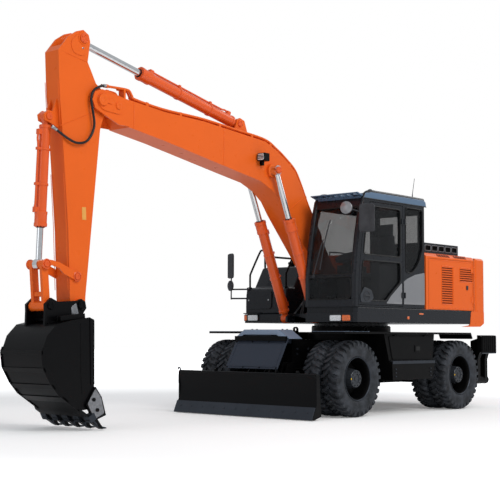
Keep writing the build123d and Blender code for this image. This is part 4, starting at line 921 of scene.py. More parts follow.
def toothShapes():
    # a curved tooth: its section shrinks and sinks from the adapter to the point
    rows = np.linspace(0, 1, 9)
    x, z = 5.515 - 0.245 * rows, 0.15 - 0.125 * rows - 0.035 * np.sin(math.pi * rows)
    high = 0.034 * (1 - rows) + 0.007
    wide = 0.037 - 0.012 * rows ** 2
    section = ((-1, -0.7), (-0.7, -1), (0.7, -1), (1, -0.7), (1, 0.7), (0.7, 1), (-0.7, 1), (-1, 0.7))
    shapes = []
    for y in -0.395 + np.arange(5) * 0.1975:
        columns = [np.stack([x + c * high * 0.45, y + b * wide, z + c * high], -1) for b, c in section]
        grid = np.stack(columns, 1)
        first, last = (np.repeat(end.mean(1, keepdims=True), 8, 1) for end in (grid[:1], grid[-1:]))
        shapes.append(gridShape(np.concatenate([first, grid, last]), closeColumns=True))
        shapes.append(boxAt((5.5, y, 0.15), (0.09, 0.1, 0.08), 30))
    return merged(*shapes)


def bucketWelds(s):
    # a bead down each side of the bucket and two along the foot of each ear
    side = weldBead(atSide([(5.638, 1.235), (5.623, 0.64), (5.6, 0.42)], s["bucketSide"] + 0.0005))
    ears = [weldBead(atSide([(5.52, 1.296), (5.76, 1.268), (5.97, 1.222)], y), 0.006) for y in (0.1545, 0.1875)]
    return bothSides(merged(side, *ears))


addPiece("bucketWearStraps", bucketWear(armSizes), "bucket", "bucketBlack", bevel=0.003)
addPiece("bucketRibs", bucketRibs(), "bucket", "bucketBlack", bevel=0.003)
addPiece("bucketWelds", bucketWelds(armSizes), "bucket", "bucketBlack")
wornFaces, cutterBolts = cutterFaces(armSizes)
addPiece("cutterFaces", wornFaces, "bucket", "worn", bevel=0.0015)
addPiece("cutterBolts", cutterBolts, "bucket", "bucketBlack")
addPiece("bucketTeeth", toothShapes(), "bucket", "iron", smooth=45)
earPlate = prism(rounded([(5.52, 1.338), (5.62, 1.322), (5.635, 1.415), (5.56, 1.47)], 0.02), 0.187, 0.193)
addPiece("earFacePlate", earPlate, "bucket", "worn", bevel=0.002)
print("arm and bucket made")


hoodSizes = {"side": 1.24, "top": 2.34, "front": -0.18, "seam": -1.56, "boxLow": 2.348, "boxTop": 2.505,
    "boxLeft": 1.06}


def doorGrilles(s, side):
    # a raised rim round each of the side door's grilles and a mesh sheet behind it, painted dark orange as the
    # shade in the grille
    rims, sheets = [], []
    for x0, x1, z0, z1 in ((-1.5, -1.12, 1.945, 2.145), (-0.915, -0.615, 1.59, 2.15)):
        edge = rectangle(x0 - 0.012, x1 + 0.012, z0 - 0.01, z1 + 0.004)
        rims.append(beadRound(edge, side * (s["side"] + 0.001), 0.005, 0.02))
        sheet = rectangle(x0 - 0.02, x1 + 0.02, z0 - 0.02, z1 + 0.02)
        sheets.append(wallPlate(sheet, side, s["side"] - 0.018, s["side"] - 0.014))
    return merged(*rims), merged(*sheets)


for side, name in ((1, "Left"), (-1, "Right")):
    body, wall = f"side_door_{name.lower()}", hoodSizes["side"]
    rims, sheets = doorGrilles(hoodSizes, side)
    addPiece("grilleRims" + name, rims, body, "orange")
    addPiece("grilleMesh" + name, sheets, body, "shadedMeshOrange", bevel=0.001)
    # pressed swage round the door and a lock with its turning handle
    swage = beadRound(rectangle(-1.478, -0.262, 1.52, 2.232), side * (wall + 0.0005), 0.0035, 0.05, 6)
    addPiece("doorSwage" + name, swage, body, "orange")
    lock = wallPlate(rounded(rectangle(-1.345, -1.295, 1.812, 1.88), 0.02), side, wall, wall + 0.012)
    keyLine = [(0.0, 0.014), (0.011, 0.014), (0.013, 0.01), (0.013, 0.0)]
    key = lathe(keyLine, (-1.32, side * wall, 1.835), (0, side, 0), 20)
    addPiece("doorLock" + name, merged(lock, key), body, "plastic", bevel=0.003)


def topVents(s):
    # two rows of short vents let into the sloping edge band over the side doors, painted dark orange as the
    # shade in them
    vents = []
    slope = math.degrees(math.atan2(0.048, 0.06))
    for x0, x1 in ((-0.86, -0.52), (-1.33, -0.98)):
        for x in x0 + (np.arange(5) + 0.5) * (x1 - x0) / 5:
            vents.append(boxAt((x, s["side"] - 0.028, s["top"] - 0.033), (0.05, 0.05, 0.008), -slope, "x"))
    return bothSides(merged(*vents))


addPiece("topVents", topVents(hoodSizes), "upper", "shadedMeshOrange", bevel=0.002)


def hoodSeams(s):
    # rubber strips in the gaps round the lid, the doors and the counterweight
    wall, back, front, top = s["side"] - 0.004, s["seam"] + 0.03, s["front"] - 0.062, s["top"] - 0.006
    return bothSides(merged(
        tube([(back, wall, 1.5), (back, wall, 2.3)], 0.006, 6),
        tube([(front, wall, 1.5), (front, wall, 2.25)], 0.005, 6),
        tube([(s["seam"] + 0.02, 1.077, top), (s["front"], 1.077, top)], 0.006, 6),
    ))


addPiece("hoodSeams", hoodSeams(hoodSizes), "upper", "seal")


def louvreBoxTrim(s):
    # light rim round each of the box's five openings, slanting blades and a dark sheet behind them as painted
    # shade inside the box
    x0, x1, post = s["front"] - 1.18, s["front"] - 0.22, 0.036
    pitch = (x1 - x0 - post) / 5
    y, low, top = s["boxLeft"], s["boxLow"], s["boxTop"]
    rims, back = [], []
    for k in range(5):
        a = x0 + post + k * pitch
        b = a + pitch - post
        opening = rectangle(a - 0.004, b + 0.004, low + 0.041, top - 0.036)
        rims.append(beadRound(opening, y + 0.001, 0.0045, 0.018, 6))
        blade = (b - a + 0.01, 0.02, 0.003)
        back += [boxAt(((a + b) / 2, y - 0.022, z), blade, 35, "x") for z in (2.408, 2.428, 2.448)]
    # near-black sheet behind the openings: painted shade inside the box
    back.append(boxShape(x0 + 0.02, x1 - 0.02, y - 0.06, y - 0.056, low + 0.02, top - 0.02))
    return merged(*rims), merged(*back)


rims, bladesAndShadeSheet = louvreBoxTrim(hoodSizes)
addPiece("louvreRims", rims, "engine_hood", "silver")
addPiece("louvreBladesAndShadeSheet", bladesAndShadeSheet, "engine_hood", "dark")


def hoodTop(s):
    # grab handle and two lid catches
    ends = ((-0.4, 0.01), (-0.4, 0.075), (-0.43, 0.095), (-0.77, 0.095), (-0.8, 0.075), (-0.8, 0.01))
    handle = pipe([(x, -0.72, s["top"] + lift) for x, lift in ends], 0.011, 5, 10)
    catches = [boxShape(-1.46, -1.38, y - 0.03, y + 0.03, s["top"] + 0.006, s["top"] + 0.026)
        for y in (-0.6, 0.6)]
    return merged(handle, *catches)


addPiece("lidHandle", hoodTop(hoodSizes), "engine_hood", "black", bevel=0.003)


def exhaust(s):
    # a pipe that bends back at the top, open at its mouth
    x, y, z = s["at"]
    high, radius, sides = s["high"], s["radius"], 24
    bend = [(x, y, z), (x, y, z + high * 0.5), (x - 0.01, y, z + high * 0.8), (x - 0.06, y, z + high)]
    centre = smoothPath(bend, 6)
    outer = tube(centre, radius, sides, ends=False)
    inner = tube(centre[::-1], radius - s["wall"], sides, ends=False)
    return np.concatenate([outer[0], inner[0]]), [gridFaces(len(centre) * 2, sides, True, True)]


exhaustSizes = {"at": (-0.62, -0.3, 2.366), "radius": 0.052, "wall": 0.004, "high": 0.12}
flange = [(0.0, 0.0), (0.11, 0.0), (0.11, 0.018), (0.085, 0.026), (0.0, 0.026)]
stackBase = lathe(flange, exhaustSizes["at"][:2] + (hoodSizes["top"] + 0.006,), (0, 0, 1), 36)
addPiece("exhaustBase", stackBase, "engine_hood", "black")
addPiece("exhaustPipe", exhaust(exhaustSizes), "engine_hood", "worn", smooth=50)


def liftingEyes():
    # two sockets on top of the counterweight, each with a half ring over it
    x = -1.85
    socket = [(0.03, 0.002), (0.055, 0.002), (0.055, -0.004), (0.07, -0.004), (0.07, 0.012), (0.064, 0.018),
        (0.036, 0.018), (0.03, 0.012), (0.03, 0.002)]
    t = np.linspace(0, math.pi, 13)
    shapes = []
    for y in (-0.62, 0.62):
        arch = np.stack([x - 0.05 * np.cos(t), np.full_like(t, y), 2.325 + 0.062 * np.sin(t)], -1)
        shapes += [lathe(socket, (x, y, 2.318), (0, 0, 1), 36), tube(arch, 0.012, 10)]
    return merged(*shapes)


addPiece("liftingEyes", liftingEyes(), "upper", "black")


def tailLampBoxes(s):
    # x of the tail's arc at each y, as a circle through its corners and its middle
    rise, half, tail = 0.47, s["side"], -2.3
    radius = (half * half + rise * rise) / (2 * rise)
    boxes, lenses = [], []
    for y in (-0.96, 0.96):
        x = tail + radius - math.sqrt(radius * radius - y * y)
        turn = math.degrees(math.asin(y / radius))
        boxes.append(boxAt((x + 0.004, y, 1.62), (0.05, 0.2, 0.12), -turn, "z"))
        lenses.append(boxAt((x - 0.018, y, 1.62), (0.022, 0.172, 0.092), -turn, "z"))
    return merged(*boxes), merged(*lenses)


housings, lenses = tailLampBoxes(hoodSizes)
addPiece("tailLampHousings", housings, "upper", "plastic", bevel=0.004)
addPiece("tailLampLenses", lenses, "upper", "orangeLens", bevel=0.006)
sillLine = [(-1.165, 1.246), (-1.4, 1.272), (-1.432, 1.488), (-1.812, 1.488), (-1.812, 1.302), (-1.7, 1.252)]
sillCorner = prism(rounded(sillLine, 0.02), 1.222, 1.2445)
addPiece("sillCorners", bothSides(sillCorner), "upper", "orange", bevel=0.004)
print("engine bay made")


cabSizes = {"inner": 0.36, "outer": 1.24, "seam": 3.005}
cabWall = cabSizes["outer"] + 0.001  # just outside the skin of the cab's left side
windowLines = {
    "doorWindow": [(0.482, 2.225), (0.482, 2.905), (1.16, 2.905), (1.228, 2.845), (1.318, 2.56),
        (1.368, 2.225)],
    "doorPane": [(0.85, 1.59), (0.73, 1.69), (0.585, 1.795), (0.482, 1.862), (0.482, 2.145), (1.378, 2.145),
        (1.402, 1.95), (1.422, 1.59)],
    "sideWindow": [(0.348, 2.02), (0.348, 2.95), (-0.088, 2.95), (-0.088, 2.37), (0.0, 2.18), (0.08, 2.09),
        (0.2, 2.005)],
}


doorSeals = merged(*[beadRound(windowLines[name], cabWall) for name in ("doorWindow", "doorPane")])
addPiece("doorSeals", doorSeals, "cab_door", "seal")
addPiece("quarterSeal", beadRound(windowLines["sideWindow"], cabWall), "upper", "seal")


def screenSeals():
    # beads round the two windscreen panes, which lean as the front of the cab does
    heights, fronts = [1.5, 1.9, 2.3, 2.73, 3.005], [1.55, 1.545, 1.5, 1.42, 1.345]
    beads = []
    for z0, z1, corner in ((1.604, 1.908, 0.1), (1.942, 2.886, 0.05)):
        ring = rounded(rectangle(0.396, 1.161, z0, z1), corner, 8)
        fine = smoothPath([(0, y, z) for y, z in np.concatenate([ring, ring[:1]])], 2)
        fine[:, 0] = np.interp(fine[:, 2], heights, fronts) - 0.004
        beads.append(tube(np.concatenate([fine, fine[1:2]]), 0.01, 8, ends=False))
    return merged(*beads)


addPiece("screenSeals", screenSeals(), "upper", "seal")


def wiper():
    # arm up from the split bar to a blade that lies on the upper pane
    pivot = lathe([(0.0, 0.03), (0.016, 0.03), (0.02, 0.024), (0.02, 0.0)], (1.548, 0.52, 1.925), (1, 0, 0), 20)
    arm = [(1.572, 0.52, 1.925), (1.56, 0.56, 2.08), (1.528, 0.63, 2.36), (1.514, 0.66, 2.44)]
    blade = [(1.548, 0.62, 2.02), (1.524, 0.655, 2.26), (1.494, 0.69, 2.5), (1.458, 0.735, 2.72)]
    return merged(pivot, pipe(arm, 0.007, 6, 8), pipe(blade, 0.008, 6, 8))


addPiece("screenWiper", wiper(), "upper", "plastic")


def doorHandle(y):
    # six-cornered bezel with a round dish in it and a bar to pull
    bezel = [(1.452, 1.66), (1.357, 1.772), (1.194, 1.736), (1.138, 1.627), (1.242, 1.56), (1.44, 1.56)]
    plate = prism(rounded(bezel, 0.03), y - 0.002, y + 0.012)
    dish = [(0.074, 0.01), (0.07, 0.018), (0.062, 0.018), (0.054, 0.006), (0.0, 0.002)]
    pull = [(1.25, y + 0.01, 1.65), (1.272, y + 0.03, 1.652), (1.348, y + 0.03, 1.654), (1.37, y + 0.01, 1.655)]
    return plate, merged(lathe(dish, (1.31, y, 1.65), sides=40), pipe(pull, 0.009, 5, 10))


handlePlate, handleDish = doorHandle(cabSizes["outer"])
addPiece("handleBezel", handlePlate, "cab_door", "hub", bevel=0.005)
addPiece("handleDish", handleDish, "cab_door", "plastic", smooth=45)


def sweepPanel(x0, x1, steps, y):
    # silver panel below a rising curve: grid(i, j) = low edge + j (curve(x i) - low edge), with a rolled rim
    curveX = np.array([-0.149, -0.128, 0.108, 0.314, 0.466, 0.566, 0.715, 0.813])
    curveZ = np.array([2.018, 2.026, 1.987, 1.921, 1.843, 1.769, 1.665, 1.572])
    x = np.linspace(x0, x1, steps)
    top = np.interp(x, curveX, curveZ)
    low = 1.556
    share = np.linspace(0, 1, 14)[None]
    z = low + share * (np.maximum(top, low + 0.004) - low)[:, None]
    rim = np.minimum(share, 1 - share) * (top - low)[:, None]
    end = np.minimum(x - x0, x1 - x)[:, None]
    lift = 0.007 * np.clip(np.minimum(rim, end + 0.002) / 0.01, 0, 1) ** 0.5
    front = np.stack([np.broadcast_to(x[:, None], z.shape), y + 0.001 + lift, z], -1)
    back = front.copy()
    back[..., 1] = y - 0.002
    both = np.concatenate([front, back[:, ::-1]], 1)
    points, faces = gridShape(both, closeColumns=True)
    count = both.shape[1]
    caps = np.stack([np.arange(count)[::-1], np.arange(count) + (steps - 1) * count])
    return points, faces + [caps]


addPiece("doorSweep", sweepPanel(0.447, 0.822, 24, cabWall), "cab_door", "silver", smooth=30)
addPiece("cabSweep", sweepPanel(-0.135, 0.396, 30, cabWall), "upper", "silver", smooth=30)


def roofTrim(s):
    # hoop at the front corner, an aerial at the back corner, and beads along the seam on both sides
    y, seam = s["outer"], s["seam"] - 0.002
    hoop = pipe([(1.1, y - 0.03, 3.075), (1.145, y - 0.02, 3.125), (1.22, y - 0.015, 3.12),
                 (1.3, y - 0.012, 3.05), (1.345, y - 0.01, 2.96)], 0.011, 7, 10)
    beads = [tube([(-0.19, edge, seam), (1.33, edge, seam)], 0.007, 8)
        for edge in (y + 0.001, s["inner"] - 0.001)]
    foot = lathe([(0.0, 0.03), (0.02, 0.03), (0.03, 0.022), (0.034, 0.0)], (0.02, y - 0.1, 3.098), (0, 0, 1), 24)
    mastLine = [(0.02, y - 0.1, 3.12), (0.015, y - 0.1, 3.16), (0.01, y - 0.1, 3.2), (-0.035, y - 0.095, 3.42)]
    mast = tube(mastLine, [0.01, 0.008, 0.005, 0.0035], 10)
    return merged(hoop, foot, mast), merged(*beads)


def pillarCaps(s):
    # rounded covers up the front pillars, over the corner and back along the roof's edge
    line = [(1.52, 1.52), (1.52, 1.9), (1.474, 2.3), (1.394, 2.73), (1.345, 2.93), (1.29, 3.05),
            (1.17, 3.098), (0.95, 3.1), (0.3, 3.1), (-0.15, 3.094)]
    return merged(*[pipe(atSide(line, y), 0.034, 7, 14) for y in (s["outer"] - 0.036, s["inner"] + 0.036)])


addPiece("pillarCaps", pillarCaps(cabSizes), "upper", "cabGrey", smooth=60)
hoopAndMast, seamBeads = roofTrim(cabSizes)
addPiece("roofHoop", hoopAndMast, "upper", "plastic")
addPiece("roofSeam", seamBeads, "upper", "seal")


def mirrorFaces():
    # silvered faces on the backs of the mirror plates, towards the seat, and rolled rims round them
    glasses, rims, domes = [], [], []
    # middle, width, height, turn in degrees
    for x, y, z, width, height, turn in ((1.53, 1.4175, 2.7, 0.205, 0.365, 13),
                                         (1.15, -1.4394, 2.165, 0.16, 0.36, -20)):
        c, s = math.cos(math.radians(turn)), math.sin(math.radians(turn))
        back = (x - 0.0135 * c, y - 0.0135 * s, z)
        glasses.append(boxAt(back, (0.004, width - 0.022, height - 0.022), turn, "z"))
        ring = rounded(rectangle(-width / 2, width / 2, -height / 2, height / 2), 0.035)
        loop = [(x - s * a, y + c * a, z + b) for a, b in np.concatenate([ring, ring[:2]])]
        rims.append(tube(loop, 0.0125, 8, ends=False))
    # middle, radius, turn in degrees
    for x, y, z, r, turn in ((1.62, 1.138, 2.85, 0.084, 10), (1.15, -1.4394, 1.86, 0.078, -20)):
        c, s = math.cos(math.radians(turn)), math.sin(math.radians(turn))
        face = [(r - 0.006, -0.003), (r - 0.006, 0.0), (r - 0.01, 0.006), (r * 0.6, 0.014), (r * 0.3, 0.018),
                (0.0, 0.019)]
        glasses.append(lathe(face, (x - 0.012 * c, y - 0.012 * s, z), (-c, -s, 0), 40))
        shell = [(r + 0.002, -0.01), (r + 0.002, 0.01), (r * 0.8, 0.022), (r * 0.45, 0.03), (0.0, 0.033)]
        domes.append(lathe(shell, (x + 0.004 * c, y + 0.004 * s, z), (c, s, 0), 40))
    return merged(*glasses), merged(*rims, domes[1]), domes[0]


glasses, rims, frontDome = mirrorFaces()
addPiece("mirrorGlasses", glasses, "upper", "mirror", bevel=0.001)
addPiece("mirrorRims", rims, "upper", "plastic")
addPiece("frontMirrorDome", frontDome, "upper", "silver", smooth=50)


def sillTrim(s):
    # head lamp lenses and turn lamps, a light line along the sill's top, two small side lamps
    y = s["outer"]

    def lens(x, y0, y1, z0, z1):
        return roundedPlate(y0, y1, z0, z1, 0.018, x - 0.004, x + 0.008, "yz")

    white = [lens(1.559, 0.806, 0.994, 1.306, 1.384), lens(1.0595, -1.159, -0.966, 1.326, 1.409)]
    orange = [lens(1.559, 1.018, 1.154, 1.306, 1.384), lens(1.0595, -1.234, -1.183, 1.326, 1.409)]
    orange.append(boxAt((-0.042, y + 0.0045, 1.424), (0.105, 0.014, 0.022)))
    orange.append(boxAt((0.293, y + 0.0045, 1.362), (0.045, 0.014, 0.04)))
    ledge = tube([(1.49, y - 0.002, 1.486), (0.4, y + 0.001, 1.486), (-1.15, y + 0.001, 1.486)], 0.007, 8)
    barrel = [(0.0, 0.0), (0.014, 0.0), (0.014, 0.082), (0.0, 0.082)]
    hinges = [lathe(barrel, (0.398, y + 0.022, z), (0, 0, 1), 16) for z in (1.639, 2.699)]
    return merged(*white), merged(*orange), merged(ledge, *hinges)


white, orange, black = sillTrim(cabSizes)
addPiece("headLampLenses", white, "upper", "whiteLens", bevel=0.004)
addPiece("turnLampLenses", orange, "upper", "orangeLens", bevel=0.004)
addPiece("sillTrim", black, "upper", "cabGrey")
lampFace = roundedPlate(0.212, 0.318, 3.502, 3.588, 0.02, 2.396, 2.408, "yz")
addPiece("boomLampLens", lampFace, "boom", "whiteLens", bevel=0.003)
lampCage = [tube([(2.412, 0.208, z), (2.416, 0.265, z), (2.412, 0.322, z)], 0.004, 8)
    for z in (3.525, 3.545, 3.565)]
addPiece("boomLampBars", merged(*lampCage), "boom", "black")
print("cab made")


rightWall = -cabSizes["outer"]


def bulgedPanel(y, corner, high, crown=0.018):
    # cushion-shaped cover: out(u, v) = crown (1 - u^4)(1 - v^4) over a four-cornered outline at one y
    cells = 14
    u, v = np.meshgrid(np.linspace(-1, 1, cells), np.linspace(-1, 1, cells), indexing="ij")
    a, b = (u[..., None] + 1) / 2, (v[..., None] + 1) / 2
    c0, c1, c2, c3 = np.array(corner, float)
    plan = c0 * (1 - a) * (1 - b) + c1 * a * (1 - b) + c2 * a * b + c3 * (1 - a) * b
    lift = crown * (1 - u ** 4) * (1 - v ** 4)
    layers = [np.stack([plan[..., 0], out, plan[..., 1]], -1)
        for out in (y - high - lift, np.full_like(u, y + 0.004))]
    n = cells * cells
    faces = gridFaces(cells, cells)
    edge = rimIndex(cells)
    wall = np.stack([edge, np.roll(edge, -1), np.roll(edge, -1) + n, edge + n], -1)
    return np.concatenate(layers).reshape(-1, 3), [faces, faces[:, ::-1] + n, wall]


rightCovers = merged(
    bulgedPanel(rightWall, [(0.6, 1.53), (1.01, 1.53), (0.985, 1.8), (0.59, 1.8)], 0.006),
    bulgedPanel(rightWall, [(0.27, 1.3), (0.66, 1.3), (0.672, 1.5), (0.262, 1.5)], 0.006, 0.014),
    bulgedPanel(rightWall, [(-0.14, 1.52), (0.54, 1.52), (0.54, 2.06), (-0.14, 2.11)], 0.004, 0.01),
)
addPiece("rightCovers", rightCovers, "upper", "cabGrey", smooth=50)


def rightBoxTrim(y):
    # front face: bulged door with its bolts, a brim over the lamps; side face: latch with its rivets, and a
    # black plate in its hollow as painted shade
    door = roundedPlate(-1.205, -0.7, 1.5, 1.77, 0.06, 1.03, 1.052, "yz")
    brim = boxAt((1.055, -1.08, 1.432), (0.055, 0.32, 0.012), -8)
    latch = roundedPlate(0.362, 0.574, 1.662, 1.792, 0.025, y - 0.012, y + 0.002)
    # the latch's hollow is a thin black plate: painted shade
    hollowShade = roundedPlate(0.4, 0.536, 1.69, 1.765, 0.02, y - 0.016, y - 0.01)
    bolts = boltHeads([(1.052, -1.15, 1.635), (1.052, -0.755, 1.635)], (1, 0, 0), 0.014, 0.008)
    rivetPlaces = [(x, y - 0.012, z) for x in (0.38, 0.556) for z in (1.678, 1.776)]
    rivets = boltHeads(rivetPlaces, (0, -1, 0), 0.006, 0.004, 8)
    return merged(door, brim, latch), hollowShade, merged(bolts, rivets)


doorAndBrim, hollowShade, heads = rightBoxTrim(rightWall)
addPiece("toolBoxDoor", doorAndBrim, "upper", "cabGrey", bevel=0.005, segments=3)
addPiece("toolBoxLatchShade", hollowShade, "upper", "seal", bevel=0.002)
addPiece("toolBoxBolts", heads, "upper", "steel")


def tankTop():
    # filler neck and cap, non-slip tread strips on the tank and the box, grab rails beside the steps
    cap = [(0.0, 0.075), (0.05, 0.075), (0.058, 0.068), (0.058, 0.04), (0.048, 0.036), (0.048, 0.0),
        (0.07, -0.002)]
    neck = lathe(cap, (0.45, -0.8, 2.16), (0, 0, 1), 32)
    slope = 0.036
    strips = [boxAt((x, -0.84, 2.1735 - slope * (x + 0.17)), (0.06, 0.5, 0.006), 2.1)
        for x in (0.02, 0.16, 0.3)]
    strips += [boxShape(x - 0.03, x + 0.03, -1.16, -0.6, 1.829, 1.836) for x in (0.64, 0.74, 0.86)]
    line = [(0.975, 1.815), (0.975, 2.0), (0.955, 2.06), (0.76, 2.37), (0.7, 2.42), (0.56, 2.43),
            (0.52, 2.4), (0.51, 2.15)]
    foot = [(0.0, 0.01), (0.026, 0.01), (0.03, 0.006), (0.03, -0.004)]
    rails = []
    for y in (-0.475, -1.195):
        rails.append(pipe(atSide(line, y), 0.015, 6, 10))
        rails += [lathe(foot, (x, y, z), (0, 0, 1), 20) for x, z in ((0.975, 1.826), (0.51, 2.151))]
    return neck, merged(*strips), merged(*rails)


neck, strips, rails = tankTop()
addPiece("fillerNeck", neck, "upper", "black")
addPiece("treadStrips", strips, "upper", "rubber", bevel=0.001)
addPiece("stepRails", rails, "upper", "black", smooth=50)


def footHoses(s):
    # four pipes up the boom's foot, ferrules below them and hoses down to the deck
    x, z = raised(boomTop[-4:], s["lift"])[-1]
    sleeve = [(0.0, 0.0), (0.02, 0.0), (0.024, 0.008), (0.024, 0.03), (0.02, 0.036), (0.02, 0.085),
              (0.016, 0.09), (0.0, 0.09)]
    pipes, ferrules, hoses = [], [], []
    for y, spread in zip(s["pipeY"], (-1.5, -0.5, 0.5, 1.5)):
        end = np.array([x, y, z])
        stop = end + np.array([-0.03, 0, -0.11])
        pipes.append(pipe([end + np.array([0.02, 0, 0.03]), end, stop], s["pipe"], 6, 10))
        ferrules.append(lathe(sleeve, stop, (-0.28, 0, -0.96), 12))
        low = stop + np.array([-0.025, 0, -0.085])
        sags = ((0, 0, 0), (-0.02, 0, -0.12), (0.02, 0.02 * spread, -0.42), (0.1, 0.03 * spread, -0.75))
        hoses.append(pipe([low + np.array(sag) for sag in sags] + [(1.06, y * 0.8, 1.405)], 0.0155, 8, 10))
    return merged(*pipes), merged(*ferrules), merged(*hoses)


footPipes, ferrules, hoses = footHoses(boomSizes)
addPiece("footPipes", footPipes, "boom", "orange", smooth=50)
addPiece("footFerrules", ferrules, "boom", "steel")
footHosePiece = addPiece("footHoses", hoses, None, "hose", smooth=60)
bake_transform(footHosePiece, "boom", "upper", start=(slewX + 0.93, 0.0, 2.36), end=(slewX + 1.06, 0.0, 1.46))


def armHose():
    # pressure hose from the boom's tip pipe, over the joint and down to the bucket cylinder's foot
    run = [(5.07, 0.152, 4.098), (5.195, 0.165, 4.085), (5.319, 0.172, 4.015), (5.364, 0.176, 3.911),
           (5.346, 0.176, 3.793), (5.311, 0.174, 3.582), (5.401, 0.172, 3.402), (5.553, 0.17, 3.346),
           (5.7, 0.16, 3.385), (5.88, 0.11, 3.5)]
    sleeve = [(0.0, 0.0), (0.019, 0.0), (0.022, 0.006), (0.022, 0.036), (0.018, 0.042),
        (0.018, 0.075), (0.0, 0.075)]
    first = lathe(sleeve, (5.12, 0.153, 4.097), (1, 0.1, -0.08), 12)
    last = lathe(sleeve, (5.895, 0.105, 3.508), (-0.85, 0.25, -0.52), 12)
    return pipe(run, 0.015, 6), first, last


hose, boomSleeve, armSleeve = armHose()
armHosePiece = addPiece("armHose", hose, None, "hose", smooth=60)
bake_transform(armHosePiece, "boom", "arm", start=(slewX + 5.150, 0.15, 4.090), end=(slewX + 5.800, 0.15, 3.440))
addPiece("boomHoseSleeve", boomSleeve, "boom", "steel")
addPiece("armHoseSleeve", armSleeve, "arm", "steel")
print("right side made")


chassisSizes = {"boxSide": 1.2, "stepSide": 1.25, "stepTop": 0.735, "frameSide": 0.33, "fenderTop": 1.158}


def sideBoxTrim(s):
    # pressed door on each side box with its latch plate and hinges, lip along the box's top
    y = s["boxSide"]
    doorLine = rounded([(-0.33, 0.765), (0.64, 0.765), (0.73, 1.1), (-0.38, 1.1)], 0.04)
    door = prism(doorLine, y - 0.002, y + 0.01)
    latch = roundedPlate(-0.071, 0.084, 0.871, 0.973, 0.02, y + 0.008, y + 0.018)
    barrel = [(0.0, -0.05), (0.01, -0.05), (0.01, 0.05), (0.0, 0.05)]
    hinges = [lathe(barrel, (x, y + 0.014, 1.106), (1, 0, 0), 14) for x in (-0.2, 0.56)]
    lip = tube([(-0.43, y + 0.002, 1.13), (0.8, y + 0.002, 1.13)], 0.008, 8)
    # the latch's recess is a thin black plate: painted shade in the hollow
    recessShade = roundedPlate(-0.045, 0.058, 0.892, 0.952, 0.015, y + 0.017, y + 0.0195)
    return bothSides(merged(door, latch, *hinges, lip)), bothSides(recessShade)


boxTrim, recessShade = sideBoxTrim(chassisSizes)
addPiece("sideBoxTrim", boxTrim, "chassis", "black", bevel=0.003)
addPiece("sideBoxRecessShade", recessShade, "chassis", "seal", bevel=0.001)


def treadStrip(s):
    # punched step edge: a folded strip with rows of raised studs
    x0, x1, y0, y1, z = -0.385, 0.698, s["boxSide"], s["stepSide"], s["stepTop"] + 0.012
    strip = boxShape(x0, x1, y0 + 0.001, y1 + 0.003, z - 0.008, z)
    fold = boxShape(x0, x1, y1 - 0.001, y1 + 0.005, z - 0.04, z)
    x = np.linspace(-0.37, 0.683, 40)
    pitch = x[1] - x[0]
    # the second row stands half a pitch further on
    rows = [(a, y0 + 0.015, z) for a in x] + [(a + pitch / 2, y0 + 0.033, z) for a in x]
    return bothSides(merged(strip, fold, boltHeads(rows, (0, 0, 1), 0.007, 0.006, 8)))


addPiece("stepStrips", treadStrip(chassisSizes), "chassis", "iron")


def chassisBolts(s):
    # on the frame at both axles, on the step's ends and round the slew ring
    framePlaces = [(x, s["frameSide"] + 0.0005, z) for x in (1.694, 1.45, -0.98, -1.22) for z in (0.915, 0.845)]
    stepPlaces = [(x, s["stepSide"], z) for x in (-0.27, 0.62) for z in (0.633, 0.582, 0.531)]
    left = merged(boltHeads(framePlaces, (0, 1, 0), 0.018, 0.016), boltHeads(stepPlaces, (0, 1, 0), 0.012, 0.01))
    t = np.arange(36) * math.pi / 18
    ring = np.stack([0.58 * np.cos(t), 0.58 * np.sin(t), np.full_like(t, 1.24)], -1)
    return merged(bothSides(left), boltHeads(ring, (0, 0, 1), 0.013, 0.014))


addPiece("chassisBolts", chassisBolts(chassisSizes), "chassis", "iron")


def fenderTreads(s):
    # edge strip and four tread strips on each front mudguard, in pale paint as a painted highlight along its top
    z = s["fenderTop"]
    strips = [boxShape(x - 0.02, x + 0.02, 0.74, 1.22, z - 0.001, z + 0.005) for x in (1.61, 1.48, 1.35, 1.22)]
    return bothSides(merged(boxShape(1.72, 1.81, 0.7, 1.252, z - 0.001, z + 0.004), *strips))


addPiece("fenderTreads", fenderTreads(chassisSizes), "chassis", "skyHighlightGrey", bevel=0.002)


def humpHighlightSheet():
    # pale pressed sheet over the hump, its paleness a painted sky highlight on the top: the same bends, 5 mm
    # further out, with its front rim turned down
    outline = [(-0.508, 1.058), (-0.498, 1.054), (-0.317, 1.1765), (0.317, 1.1765), (0.498, 1.054),
               (0.508, 1.058), (0.322, 1.183), (-0.322, 1.183)]
    sheet = prism(outline, 1.8, 2.072, "yz")
    # its nose turns down in a quarter round: (2.070 + 0.036 sin t, top - 0.070 (1 - cos t))
    y = np.array([-0.47, -0.42, -0.33, -0.3, 0.3, 0.33, 0.42, 0.47])
    top = np.interp(np.abs(y), [0.3, 0.317, 0.498], [1.1835, 1.176, 1.062])
    t = np.linspace(0, math.pi / 2, 7)
    x = np.broadcast_to(2.07 + 0.036 * np.sin(t)[:, None], (7, len(y)))
    z = np.maximum(top[None] - 0.07 * (1 - np.cos(t))[:, None], 1.05)
    nose = np.stack([x, np.broadcast_to(y[None], x.shape), z], -1)
    back = nose[::-1].copy()
    back[..., 0] = 2.066
    shell = np.concatenate([nose, back[:1], back[-1:]])
    return merged(sheet, gridShape(shell, closeRows=True))


